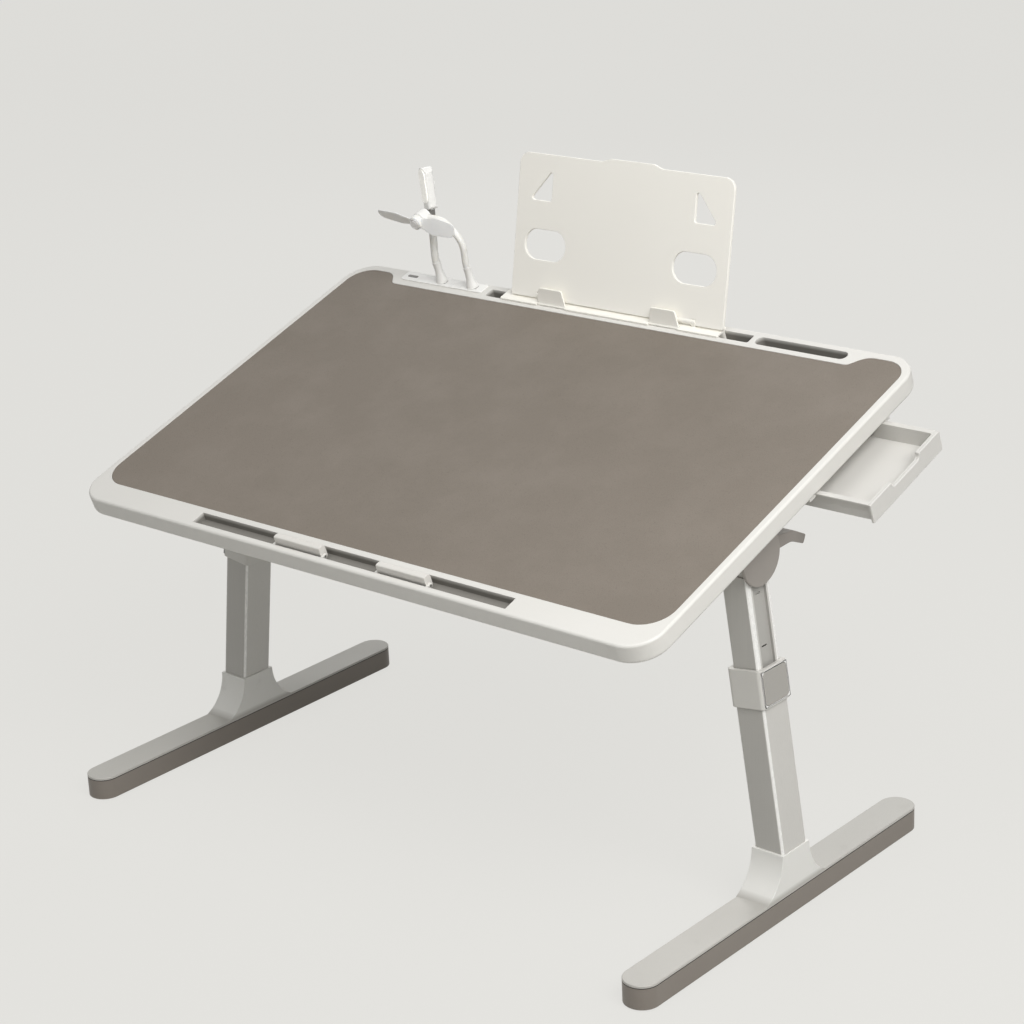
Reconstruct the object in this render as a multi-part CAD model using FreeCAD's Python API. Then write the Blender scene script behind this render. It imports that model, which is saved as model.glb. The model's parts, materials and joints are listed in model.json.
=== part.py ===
import FreeCAD
import Part

import os
from math import cos, radians, sin, sqrt, tan

from FreeCAD import Vector

# A folding lap desk with a tilting top, a side drawer, a book stand, a small lamp and a small fan.
#
# Desk frame (world): origin on the floor, midway between the feet and midway along them.
# +X to the sitter's right (the drawer side), +Y away from the sitter, +Z up.
#
# Board frame (u, v, w): fixed to the desk top. Origin at the middle of the pad's front edge, on the
# top face. u to the right, v towards the rear edge, w out of the top face.
#
# Leg frame (x, y, s): fixed to a leg. Origin at the middle of the foot tower's top, s up the tube.
# Left-hand pieces are mirror images of the right-hand ones. All lengths are millimetres.

# ---------------------------------------------------------------- posture
tilt_angle = 18.5            # desk top, front edge low
leg_splay = 8.0              # each leg leans inwards towards its top
axis_height = 382.0          # tilt axis above the floor
leg_setback = 7.5            # tilt axis behind the middle of the feet

# ---------------------------------------------------------------- clearances
sliding_gap = 0.3            # between pieces that slide or swing past each other
running_gap = 0.05           # radial, pin in bore
seat_gap = 0.2               # between pieces that only sit in each other
hang_gap = 1.0               # under the hinge plate, above the yoke
near_full = 0.98             # end radius as a share of the half width, just short of a full round
bend_share = 0.45            # of a straight run that the bend at either end may take
nearly = 0.001               # heights closer than this are the same
touching = 0.000001          # points closer than this are the same

# ---------------------------------------------------------------- desk top
top_width = 800.0
top_depth = 504.0
top_thickness = 23.0
top_corner_radius = 36.0
top_edge_round = 3.0
bottom_edge_round = 5.0
rim_wall = 8.0
deck_thickness = 4.0
cover_thickness = 2.5
core_gap = 0.5
core_rib = 14.0              # left between the pockets that lighten the core board
core_pocket_depth = 8.5
core_columns = 6
core_rows = 3
front_rim = 32.0             # front edge to pad
side_rim = 8.0               # side edge to pad
rear_rim = 11.0              # rear edge to the pad's two ears
strip_depth = 30.5           # accessory strip behind the pad, measured from the rear edge
ear_root = 338.0             # half width of the strip at the pad's ears
strip_half = 324.0           # half width of the strip at its front line
ear_round = 20.0
strip_round = 8.0
pad_front_radius = 33.0
pad_rear_radius = 28.0
pad_thickness = 1.5
pad_sink = 0.4               # pad face below the rim
well_wall = 2.0

# ---------------------------------------------------------------- front groove and laptop stops
groove_width = 442.0
groove_centre = 5.0
groove_front_land = 7.5      # front edge to groove
groove_opening = 17.0
groove_depth = 9.5
stop_width = 66.0
stop_spacing = 146.0
stop_centre = 15.0
stop_thickness = 9.5
stop_height = 15.2
stop_top_round = 4.6         # rear top edge, which swings down into the groove
stop_front_round = 1.5
stop_foot_round = 2.5
stop_axis_in = 5.15          # hinge axis behind the groove's front wall
stop_axis_down = 2.45
stop_front_gap = 2.0
stop_rise = 8.5              # top of a raised stop above the rim
stop_pin_radius = 1.2
stop_lug = 3.0

# ---------------------------------------------------------------- rear trough and phone slot
trough_left = -182.0
trough_length = 375.0
trough_opening = 14.0
trough_depth = 12.0
trough_rear_land = 9.0       # rear edge to trough
slot_divider = 7.0
slot_length = 116.0
slot_depth = 15.0
slot_end_radius = 6.9
trough_end_radius = 2.0

# ---------------------------------------------------------------- usb hub
hub_left = -318.0
hub_length = 128.0
hub_width = 17.0
hub_rear_land = 4.0
hub_rise = 1.4
hub_flange = 2.0
hub_depth = 14.0
hub_corner = 3.0
socket_width = 14.4
socket_height = 6.8
socket_depth = 11.0
socket_wall = 0.5
lamp_socket_in = 61.0        # from the hub's left end
fan_socket_in = 109.0
window_in = 14.0
window_length = 16.0
window_width = 4.4
window_depth = 1.0

# ---------------------------------------------------------------- lamp
plug_length = 10.0
plug_gap = 0.25
grip_radius = 6.8
grip_rim = 2.5               # straight foot of the grip, below its flare
grip_height = 27.0
grip_wall = 0.9              # round the neck at the grip's top
grip_waist = 1.2             # how far the flare's side is hollowed
lamp_neck_diameter = 9.0
lamp_neck_rise = 34.0
lamp_neck_shift = -2.6
lamp_neck_length = 65.0
neck_sink = 6.0
lamp_head_width = 16.5
lamp_head_depth = 12.5
lamp_head_height = 43.0
lamp_head_round = 4.5
lamp_head_turn = -20.0       # about its own length, towards the sitter's left
lamp_head_lean = -7.0        # to the sitter's left
lens_margin = 1.4
lens_thickness = 1.2
lens_proud = 0.6

# ---------------------------------------------------------------- fan
fan_neck_diameter = 8.0
fan_route = ((0.0, 0.0, 34.0), (2.5, 3.0, 60.0), (-20.0, 6.0, 85.0))
fan_centre = (-50.0, 1.0, 88.0)
motor_radius = 9.0
motor_length = 13.0
casing_round = 1.6
rotor_hub_radius = 8.4
rotor_hub_length = 7.5
rotor_gap = 0.6
rotor_shaft_radius = 1.2
rotor_shaft_length = 5.0
blade_span = 58.0
blade_root_width = 9.0
blade_width = 21.0
blade_tip_width = 15.0
blade_shoulder = 26.0        # where a blade is widest, from the fan's axis
blade_thickness = 1.2
blade_pitch = 24.0
blade_turn = -5.0

# ---------------------------------------------------------------- book stand
stand_base_centre = -1.0
stand_base_length = 311.0
stand_base_rise = 2.4
stand_base_lip = 2.0         # base lip over the land in front of the trough
stand_base_overlap = 3.0     # base lip over the land behind the trough
stand_base_radius = 1.5
stand_board_centre = 6.0
stand_board_width = 302.0
stand_board_height = 161.0
stand_board_drop = 3.4       # board's lower edge below the hinge axis
stand_board_thickness = 4.0
stand_corner_radius = 13.0
stand_foot_radius = 2.0
stand_lean = 28.5            # back from the desk top's normal
stand_axis_in = 10.0         # hinge axis behind the trough's front wall
stand_axis_up = 4.3          # above the base's top
stand_barrel_radius = 3.2
stand_barrel_length = 26.0
stand_lug_length = 5.0
stand_hinge_spacing = 190.0
stand_pin_radius = 1.5
crest_length = 60.0
crest_rise = 4.0
crest_run = 12.0             # sideways run of each end of the crest
crest_offset = 10.0
window_spacing = 212.0       # between the two oval windows of the board
window_half_length = 30.0
window_half_width = 17.5
window_height = 58.0
notch_spacing = 234.0        # between the two corner windows of the board
notch_side = 32.0
notch_rise = 38.0
notch_height = 108.0         # foot of the corner windows
notch_radius = 3.0
clip_spacing = 161.0
clip_base = 41.0
clip_top = 33.0
clip_height = 18.0
clip_thickness = 2.0
clip_lean = 12.0
clip_axis_in = 1.9
clip_barrel_radius = 1.7
clip_pin_radius = 0.8
clip_pin_reach = 2.5
clip_round = 2.5

# ---------------------------------------------------------------- drawer
drawer_out = 60.0            # how far the drawer stands open
drawer_length = 240.0
drawer_height = 21.5
drawer_wall = 2.0
drawer_floor = 2.0
drawer_corner = 3.0
drawer_behind_hinge = 35.0   # hinge plate's rear edge to the drawer
drawer_before_rear = 56.5    # drawer to the core board's rear edge
drawer_drop = 1.5            # below the desk top's underside
drawer_flange = 4.0
drawer_flange_thickness = 2.0
front_thickness = 3.0
front_overhang = 1.0
pull_width = 52.0
pull_depth = 7.0
pull_radius = 5.0
runner_web = 9.5
runner_lip = 2.2
runner_lip_gap = 0.5
runner_setback = 5.0         # runner ends inside the desk top's side

# ---------------------------------------------------------------- hinge under the desk top
axis_drop = 31.5             # tilt axis below the underside
axis_from_front = 219.0      # desk top's front edge to the tilt axis
hinge_plate_thickness = 3.0
hinge_plate_half = 44.0
hinge_plate_round = 12.5
hinge_plate_inner = 10.0     # plate beyond the fold axis
hinge_plate_outer = 4.0      # plate beyond the yoke
hinge_screw_half = 38.0
fold_axis_above = 12.0       # fold axis above the tilt axis
fold_barrel_radius = 4.5
fold_pin_radius = 2.5
fold_pin_head = 3.8
fold_pin_head_length = 1.6
fold_barrel_half = 22.5
fold_ear = 7.5
fold_gap = 0.7               # ear to yoke, both ways
cheek_thickness = 4.0
cheek_radius = 30.5
inner_cheek_radius = 26.0
cheek_gap = 0.5
cheek_corner = 1.0
bridge_thickness = 4.0
bolt_radius = 4.0
bolt_head_radius = 6.6
bolt_head_length = 3.6
bolt_blind = 1.0
lever_pivot_back = 23.5
lever_pivot_up = 0.5
lever_pin_radius = 1.6
lever_boss_radius = 5.0
lever_width = 14.0
lever_shape = (              # hooked side view: behind the pivot, above the pivot, corner radius
    (-2.0, -7.0, 3.0), (9.0, -15.0, 6.0), (30.0, -21.0, 24.0), (47.0, -36.0, 2.0),
    (54.0, -29.0, 2.0), (36.0, -11.0, 24.0), (8.0, 1.0, 12.0), (-2.0, 2.0, 2.0))

# ---------------------------------------------------------------- leg
tube_x = 36.0                # outer tube, across and along the foot
tube_y = 42.0
tube_wall = 1.5
tube_round = 4.0
slide_x = 32.0               # inner tube
slide_y = 38.0
slide_wall = 1.6
slide_round = 3.5
channel_width = 22.0
channel_depth = 3.0
leg_top_below_axis = 19.0
head_radius = 16.0
head_neck_half = 14.0
head_plug_length = 30.0
slide_travel = 80.0          # from the height shown down to the lowest
bush_length = 14.0
bush_flange = 3.0
mark_length = 9.0
mark_height = 1.6
mark_spacing = 55.0
mark_first = 23.0
collar_x = 42.0
collar_y = 47.0
collar_height = 41.0
collar_bottom = 154.5
collar_lip = 6.0
collar_round = 3.0
collar_edge_round = 0.75
button_y = 40.0
button_s = 35.0
button_thickness = 1.8
button_proud = 0.3
button_round = 5.0
tongue_y = 8.0
tongue_s = 12.0
tongue_reach = 4.1
tongue_gap = 1.0

# ---------------------------------------------------------------- foot
foot_spacing = 785.0         # middle to middle
foot_length = 490.0
foot_width = 39.0
foot_height = 28.0
foot_cap_thickness = 2.5
foot_pad_height = 1.5
foot_pad_length = 66.0
foot_pad_width = 25.0
foot_pad_inset = 9.0
foot_pad_recess = 1.5
seam_depth = 0.7
seam_height = 0.9
tower_top = 73.0
tower_y = 47.0
tower_flare = 50.0
spigot_height = 30.0
spigot_sink = 6.0

# ---------------------------------------------------------------- screws
screw_radius = 1.7
screw_head_radius = 3.4
screw_head_height = 1.7
screw_length = 11.0
cover_screw_inset = 14.0
cover_screw_columns = 4
cover_screw_rows = 3
runner_screw_count = 4

# ---------------------------------------------------------------- derived places
front_edge = -front_rim
rear_edge = top_depth - front_rim
side_edge = top_width / 2
underside = -top_thickness
cover_top = underside + cover_thickness
cavity_side = side_edge - rim_wall
cavity_front = front_edge + rim_wall
cavity_rear = rear_edge - rim_wall
groove_front = front_edge + groove_front_land
groove_rear = groove_front + groove_opening
trough_rear = rear_edge - trough_rear_land
trough_front = trough_rear - trough_opening
trough_right = trough_left + trough_length
slot_left = trough_right + slot_divider
slot_right = slot_left + slot_length
hub_rear = rear_edge - hub_rear_land
hub_front = hub_rear - hub_width
hub_middle = (hub_front + hub_rear) / 2
core_front = groove_rear + well_wall + core_gap
core_rear = min(trough_front, hub_front + hub_flange) - well_wall - core_gap
pad_rear = rear_edge - rear_rim
pad_side = side_edge - side_rim
tilt_axis_v = front_edge + axis_from_front
tilt_axis_w = underside - axis_drop
drawer_front_v = tilt_axis_v + hinge_plate_half + drawer_behind_hinge
drawer_rear_v = core_rear - drawer_before_rear
drawer_top = underside - drawer_drop
drawer_bottom = drawer_top - drawer_height
drawer_end = side_edge + drawer_out
tray_end = drawer_end - front_thickness
tray_start = drawer_end - drawer_length
foot_x = foot_spacing / 2
leg_top = axis_height - leg_top_below_axis
slope = tan(radians(leg_splay))
tube_half_level = slide_x / 2 / cos(radians(leg_splay))


def tube_middle(height):
    """x of the leg's centre line at a height above the floor."""
    return foot_x - (height - tower_top) * slope


cheek_in = tube_middle(axis_height - cheek_radius) + tube_half_level + cheek_gap
cheek_out = cheek_in + cheek_thickness
inner_cheek_out = tube_middle(leg_top) - tube_half_level - cheek_gap
inner_cheek_in = inner_cheek_out - cheek_thickness
fold_x = inner_cheek_in - fold_gap - fold_barrel_radius
fold_w = tilt_axis_w + fold_axis_above
yoke_top = underside - hinge_plate_thickness - hang_gap


# ---------------------------------------------------------------- helpers
def box(x, y, z):
    """Box between the low and high value of each axis."""
    return Part.makeBox(x[1] - x[0], y[1] - y[0], z[1] - z[0], Vector(x[0], y[0], z[0]))


def rod(start, end, radius):
    """Round bar from one point to another."""
    axis = Vector(*end) - Vector(*start)
    return Part.makeCylinder(radius, axis.Length, Vector(*start), axis)


def outline(corners):
    """Closed flat wire through (x, y, radius) corners, each rounded by its own radius."""
    points = [Vector(x, y, 0) for x, y, radius in corners]
    ends = []
    arcs = []
    for i, (x, y, radius) in enumerate(corners):
        to_last = (points[i - 1] - points[i]).normalize()
        to_next = (points[(i + 1) % len(points)] - points[i]).normalize()
        half = to_last.getAngle(to_next) / 2
        reach = radius / tan(half)
        first = points[i] + to_last * reach
        last = points[i] + to_next * reach
        ends.append((first, last))
        if radius > 0:
            inward = (to_last + to_next).normalize()
            middle = points[i] + inward * (radius / sin(half) - radius)
            arcs.append(Part.Arc(first, middle, last).toShape())
        else:
            arcs.append(None)
    edges = []
    for i, arc in enumerate(arcs):
        if arc is not None:
            edges.append(arc)
        start, stop = ends[i][1], ends[(i + 1) % len(ends)][0]
        if (stop - start).Length > touching:
            edges.append(Part.LineSegment(start, stop).toShape())
    return Part.Wire(Part.__sortEdges__(edges))


def rectangle(x, y, radius):
    """Corners of a rectangle between the low and high value of two axes, all rounded alike."""
    return [(x[0], y[0], radius), (x[1], y[0], radius), (x[1], y[1], radius), (x[0], y[1], radius)]


def prism(corners, low, high):
    """Rounded outline in X-Y, extruded along Z."""
    return Part.Face(outline(corners)).extrude(Vector(0, 0, high - low)).translated(Vector(0, 0, low))


def prism_x(corners, low, high):
    """Rounded outline in Y-Z, extruded along X."""
    return prism(corners, low, high).rotated(Vector(), Vector(1, 1, 1), 120)


def prism_y(corners, low, high):
    """Rounded outline in X-Z, extruded along Y."""
    return prism(corners, -high, -low).rotated(Vector(), Vector(1, 0, 0), 90)


def rounded(shape, radius, chosen):
    """Fillet the edges that the test picks by their middle point."""
    edges = [edge for edge in shape.Edges if chosen(edge.CenterOfMass)]
    return shape.makeFillet(radius, edges)


def at_height(height):
    """Test for edges that lie at one height."""
    return lambda middle: abs(middle.z - height) < nearly


def pipe(route, diameter):
    """Round bar along straight runs joined by arcs, each as large as its runs allow."""
    points = [Vector(*point) for point in route]
    edges = []
    start = points[0]
    for last, corner, following in zip(points, points[1:], points[2:]):
        back = last - corner
        ahead = following - corner
        reach = bend_share * min(back.Length, ahead.Length)
        back.normalize()
        ahead.normalize()
        half = back.getAngle(ahead) / 2
        radius = reach * tan(half)
        middle = corner + (back + ahead).normalize() * (radius / sin(half) - radius)
        edges.append(Part.LineSegment(start, corner + back * reach).toShape())
        edges.append(Part.Arc(corner + back * reach, middle, corner + ahead * reach).toShape())
        start = corner + ahead * reach
    edges.append(Part.LineSegment(start, points[-1]).toShape())
    section = Part.Wire(Part.Circle(points[0], points[1] - points[0], diameter / 2).toShape())
    return Part.Wire(edges).makePipeShell([section], True, False)


def fused(first, *others):
    """One solid from several."""
    return first.multiFuse(list(others)).removeSplitter()


def cut_by(shape, tools):
    """A solid less several others."""
    for tool in tools:
        shape = shape.cut(tool)
    return shape


def on_board(shape):
    """Board frame to desk frame."""
    turned = shape.rotated(Vector(0, tilt_axis_v, tilt_axis_w), Vector(1, 0, 0), tilt_angle)
    return turned.translated(Vector(0, leg_setback - tilt_axis_v, axis_height - tilt_axis_w))


def on_leg(shape):
    """Leg frame to desk frame."""
    turned = shape.rotated(Vector(), Vector(0, 1, 0), -leg_splay)
    return turned.translated(Vector(foot_x, leg_setback, tower_top))


def mirrored(shape):
    """The left-hand twin of a right-hand piece."""
    return shape.mirror(Vector(), Vector(1, 0, 0))


# ---------------------------------------------------------------- desk top
def pad_outline(gap):
    """Corners of the pad: square in front, two ears either side of the accessory strip behind."""
    side, front, rear = pad_side - gap, gap, pad_rear - gap
    strip = rear_edge - strip_depth - gap
    right = [
        (side, front, pad_front_radius),
        (side, rear, pad_rear_radius),
        (ear_root + gap, rear, ear_round),
        (strip_half + gap, strip, strip_round),
    ]
    left = [(-x, y, radius) for x, y, radius in reversed(right)]
    return right + left


def groove_span():
    """Low and high u of the front groove."""
    return groove_centre - groove_width / 2, groove_centre + groove_width / 2


def wells():
    """Sunken wells of the frame: corners and depth."""
    behind_pad = (trough_front, trough_rear)
    return [
        (rectangle(groove_span(), (groove_front, groove_rear), 0), groove_depth),
        (rectangle((trough_left, trough_right), behind_pad, trough_end_radius), trough_depth),
        (rectangle((slot_left, slot_right), behind_pad, slot_end_radius), slot_depth),
        (hub_pocket(0), hub_depth),
    ]


def hub_pocket(gap):
    """Corners of the hub's body in its pocket."""
    inset = hub_flange + gap
    across = (hub_left + inset, hub_left + hub_length - inset)
    return rectangle(across, (hub_front + inset, hub_rear - inset), hub_corner - gap)


def well_block(corners, depth):
    """Solid that walls a well in, under the deck."""
    us = [corner[0] for corner in corners]
    vs = [corner[1] for corner in corners]
    front = max(min(vs) - well_wall, cavity_front - well_wall)
    rear = min(max(vs) + well_wall, cavity_rear + well_wall)
    across = (min(us) - well_wall, max(us) + well_wall)
    return box(across, (front, rear), (-depth - well_wall, -deck_thickness / 2))


def stop_middles():
    """u of the two laptop stops."""
    return stop_centre - stop_spacing / 2, stop_centre + stop_spacing / 2


def stop_axis():
    """v and w of the laptop stops' hinge axis."""
    return groove_front + stop_axis_in, -stop_axis_down


def stop_lugs():
    """Ears in the groove that carry the stop pins."""
    axis_v, axis_w = stop_axis()
    lugs = []
    for middle in stop_middles():
        for side in (-1, 1):
            near = middle + side * (stop_width / 2 + sliding_gap)
            far = near + side * stop_lug
            across = (min(near, far), max(near, far))
            block = box(across, (groove_front, axis_v + 2 * stop_pin_radius), (-groove_depth, -pad_sink))
            bore = rod((across[0] - 1, axis_v, axis_w), (across[1] + 1, axis_v, axis_w),
                       stop_pin_radius + running_gap)
            lugs.append(block.cut(bore))
    return lugs


def top_frame():
    """Moulded surround: skirt, deck, recess for the pad, and the wells."""
    plan = rectangle((-side_edge, side_edge), (front_edge, rear_edge), top_corner_radius)
    blank = prism(plan, underside, 0)
    blank = rounded(blank, top_edge_round, at_height(0))
    blank = rounded(blank, bottom_edge_round, at_height(underside))
    cavity = prism(cavity_outline(0), underside - 1, -deck_thickness)
    shell = blank.cut(cavity)
    shell = fused(shell, *[well_block(corners, depth) for corners, depth in wells()])
    shell = cut_by(shell, [prism(corners, -depth, 1) for corners, depth in wells()])
    recess = prism(pad_outline(0), -pad_thickness - pad_sink, 1)
    shell = shell.cut(recess)
    return fused(shell, *stop_lugs())


def cavity_outline(gap):
    """Corners of the hollow under the deck."""
    side = cavity_side - gap
    return rectangle((-side, side), (cavity_front + gap, cavity_rear - gap), top_corner_radius - rim_wall)


def desk_pad():
    return prism(pad_outline(seat_gap), -pad_thickness - pad_sink, -pad_sink)


def core_board():
    """Fibreboard panel under the deck, between the front groove and the rear wells."""
    side = cavity_side - core_gap
    panel = prism(rectangle((-side, side), (core_front, core_rear), 0), cover_top, -deck_thickness)
    panel = panel.common(prism(cavity_outline(core_gap), underside, 0))
    return cut_by(panel, under_screw_holes() + core_pockets(side))


def core_pockets(side):
    """Grid of pockets sunk into the core board's upper face."""
    pitch_u = (2 * side - core_rib) / core_columns
    pitch_v = (core_rear - core_front - core_rib) / core_rows
    pockets = []
    for column in range(core_columns):
        for row in range(core_rows):
            left = -side + core_rib + column * pitch_u
            front = core_front + core_rib + row * pitch_v
            pockets.append(box((left, left + pitch_u - core_rib), (front, front + pitch_v - core_rib),
                               (-deck_thickness - core_pocket_depth, 0)))
    return pockets


def bottom_cover():
    """Thin panel that closes the underside, flush with the skirt."""
    cover = prism(cavity_outline(seat_gap), underside, cover_top)
    heads = [screw_head((u, v), seat_gap) for u, v in cover_screw_places()]
    return cut_by(cover, under_screw_holes() + heads)


def cover_screw_places():
    """Grid of screws round the cover and along its middle, all into the core board."""
    side = cavity_side - cover_screw_inset
    front = core_front + cover_screw_inset
    rear = core_rear - cover_screw_inset
    places = []
    for row in range(cover_screw_rows):
        v = front + (rear - front) * row / (cover_screw_rows - 1)
        for column in range(cover_screw_columns):
            places.append((-side + 2 * side * column / (cover_screw_columns - 1), v))
    return places


def screw_head(place, gap):
    """Sunken head of a cover screw, grown by a gap for its recess."""
    u, v = place
    return rod((u, v, underside - gap), (u, v, underside + screw_head_height), screw_head_radius + gap)


def under_screw_holes():
    """Clearance holes for every screw that goes up into the core board."""
    places = cover_screw_places() + hinge_screw_places() + runner_screw_places()
    return [rod((u, v, underside - 1), (u, v, underside + screw_length + seat_gap),
                screw_radius + running_gap) for u, v in places]


def cover_screws():
    screws = []
    for u, v in cover_screw_places():
        shank = rod((u, v, underside), (u, v, underside + screw_length), screw_radius)
        screws.append(fused(screw_head((u, v), 0), shank))
    return Part.makeCompound(screws)


def laptop_stop(middle):
    """Flap that stands up out of the groove to hold a laptop's front edge."""
    axis_v, axis_w = stop_axis()
    top = stop_rise
    bottom = top - stop_height
    front = groove_front + stop_front_gap
    rear = front + stop_thickness
    corners = [
        (front, bottom, stop_foot_round),
        (rear, bottom, stop_foot_round),
        (rear, top, stop_top_round),
        (front, top, stop_front_round),
    ]
    flap = prism_x(corners, middle - stop_width / 2, middle + stop_width / 2)
    bore = rod((middle - stop_width, axis_v, axis_w), (middle + stop_width, axis_v, axis_w),
               stop_pin_radius + running_gap)
    return flap.cut(bore)


def stop_pins():
    axis_v, axis_w = stop_axis()
    reach = stop_width / 2 + sliding_gap + stop_lug
    return Part.makeCompound([
        rod((middle - reach, axis_v, axis_w), (middle + reach, axis_v, axis_w), stop_pin_radius)
        for middle in stop_middles()
    ])


# ---------------------------------------------------------------- usb hub, lamp and fan
def socket_places():
    """u of the lamp's and the fan's socket."""
    return hub_left + lamp_socket_in, hub_left + fan_socket_in


def socket_outline(u, grow):
    """Corners of a socket shell, grown or shrunk all round."""
    half_u = socket_width / 2 + grow
    half_v = socket_height / 2 + grow
    return rectangle((u - half_u, u + half_u), (hub_middle - half_v, hub_middle + half_v), 0)


def window_outline(gap):
    """Corners of the dark oval window in the hub's face."""
    u = hub_left + window_in
    half_u = window_length / 2 - gap
    half_v = window_width / 2 - gap
    radius = half_v * near_full
    return rectangle((u - half_u, u + half_u), (hub_middle - half_v, hub_middle + half_v), radius)


def hub_housing():
    """Body in the pocket, with a face plate that overlaps the pocket's edge."""
    body = prism(hub_pocket(seat_gap), -hub_depth + seat_gap, hub_rise)
    face = rectangle((hub_left, hub_left + hub_length), (hub_front, hub_rear), hub_corner)
    plate = prism(face, 0, hub_rise)
    housing = fused(body, plate)
    shafts = [prism(socket_outline(u, 0), hub_rise - socket_depth, hub_rise + 1) for u in socket_places()]
    window = prism(window_outline(0), hub_rise - window_depth, hub_rise + 1)
    return cut_by(housing, shafts + [window])


def hub_window():
    return prism(window_outline(seat_gap), hub_rise - window_depth, hub_rise + seat_gap)


def hub_sockets():
    """Two rectangular metal shells, open at the top."""
    shells = []
    for u in socket_places():
        shell = prism(socket_outline(u, 0), hub_rise - socket_depth, hub_rise)
        inside = prism(socket_outline(u, -socket_wall), hub_rise - socket_depth + socket_wall, hub_rise + 1)
        shells.append(shell.cut(inside))
    return Part.makeCompound(shells)


def plug_and_grip(neck, neck_radius):
    """Metal plug in its socket, with a moulded grip above that holds the neck."""
    shrink = -socket_wall - plug_gap
    half_u = socket_width / 2 + shrink
    half_v = socket_height / 2 + shrink
    base = hub_rise + sliding_gap
    tongue = rectangle((-half_u, half_u), (-half_v, half_v), 0)
    metal = prism(tongue, hub_rise - plug_length, base + grip_rim)
    return fused(metal, flared_grip(base, neck_radius)).cut(neck)


def flared_grip(base, neck_radius):
    """Trumpet-shaped sleeve: a short straight foot, then a hollow flare up to the neck."""
    top_radius = neck_radius + grip_wall
    rim = Vector(grip_radius, 0, base + grip_rim)
    top = Vector(top_radius, 0, base + grip_height)
    waist = (rim + top) / 2 - Vector(grip_waist, 0, 0)
    edges = [
        Part.LineSegment(Vector(0, 0, base), Vector(grip_radius, 0, base)).toShape(),
        Part.LineSegment(Vector(grip_radius, 0, base), rim).toShape(),
        Part.Arc(rim, waist, top).toShape(),
        Part.LineSegment(top, Vector(0, 0, top.z)).toShape(),
        Part.LineSegment(Vector(0, 0, top.z), Vector(0, 0, base)).toShape(),
    ]
    return Part.Face(Part.Wire(edges)).revolve(Vector(), Vector(0, 0, 1), 360)


def lamp_neck():
    """Bendable neck: straight out of the grip, then bent back to stand upright."""
    start = hub_rise + grip_height - neck_sink
    rise = lamp_neck_length * cos(radians(tilt_angle))
    back = lamp_neck_length * sin(radians(tilt_angle))
    route = ((0, 0, start), (0, 0, lamp_neck_rise), (lamp_neck_shift, back, lamp_neck_rise + rise))
    return pipe(route, lamp_neck_diameter)


def lamp_head_place(shape):
    """Lamp head frame (z along the head, upright) to the plug frame."""
    rise = lamp_neck_length * cos(radians(tilt_angle))
    back = lamp_neck_length * sin(radians(tilt_angle))
    turned = shape.rotated(Vector(), Vector(0, 0, 1), lamp_head_turn)
    turned = turned.rotated(Vector(), Vector(0, 1, 0), lamp_head_lean)
    leaned = turned.rotated(Vector(), Vector(1, 0, 0), -tilt_angle)
    return leaned.translated(Vector(lamp_neck_shift, back, lamp_neck_rise + rise))


def lens_outline(gap):
    """Corners of the lens in the lamp head's front face, in X and Z."""
    half = lamp_head_width / 2 - lens_margin - gap
    low = lens_margin + gap
    high = lamp_head_height - lens_margin - gap
    return rectangle((-half, half), (low, high), half * near_full)


def lamp_head():
    """Slim rounded wand with a recess for the lens."""
    half_x = lamp_head_width / 2
    half_y = lamp_head_depth / 2
    plan = rectangle((-half_x, half_x), (-half_y, half_y), lamp_head_round)
    body = prism(plan, -neck_sink, lamp_head_height)
    crown_round = half_x * near_full
    crown = prism_y([(-half_x, -neck_sink, lamp_head_round), (half_x, -neck_sink, lamp_head_round),
                     (half_x, lamp_head_height, crown_round), (-half_x, lamp_head_height, crown_round)],
                    -half_y, half_y)
    recess = prism_y(lens_outline(0), -half_y - 1, -half_y + lens_thickness)
    return lamp_head_place(body.common(crown).cut(recess)).cut(lamp_neck())


def lamp_lens():
    face = -lamp_head_depth / 2
    return lamp_head_place(prism_y(lens_outline(seat_gap), face - lens_proud, face + lens_thickness))


def fan_neck():
    """Bendable neck that arches over to the motor's side."""
    start = (0, 0, hub_rise + grip_height - neck_sink)
    centre = Vector(*fan_centre)
    last = Vector(*fan_route[-1])
    side = Vector(last.x - centre.x, 0, last.z - centre.z).normalize()
    end = centre + side * (motor_radius - neck_sink / 2) + Vector(0, motor_length / 4, 0)
    return pipe((start,) + fan_route + ((end.x, end.y, end.z),), fan_neck_diameter)


def fan_motor():
    """Round motor casing with a shaft out of its front."""
    u, v, w = fan_centre
    casing = rod((u, v + motor_length / 2, w), (u, v - motor_length / 2, w), motor_radius)
    casing = casing.makeFillet(casing_round, casing.Edges[:1])
    front = v - motor_length / 2
    shaft = rod((u, front + 1, w), (u, front - rotor_gap - rotor_shaft_length, w), rotor_shaft_radius)
    return fused(casing, shaft).cut(fan_neck())


def fan_blade():
    """One soft paddle along +X, pitched about its own length."""
    root = blade_root_width / 2
    tip = blade_tip_width / 2
    shoulder = blade_width / 2
    start = rotor_hub_radius / 2
    corners = [
        (start, -root, 0),
        (blade_shoulder, -shoulder, shoulder),
        (blade_span, -tip, tip * near_full),
        (blade_span, tip, tip * near_full),
        (blade_shoulder, shoulder, shoulder),
        (start, root, 0),
    ]
    paddle = prism(corners, -blade_thickness / 2, blade_thickness / 2)
    return paddle.rotated(Vector(), Vector(1, 0, 0), 90 - blade_pitch)


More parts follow.
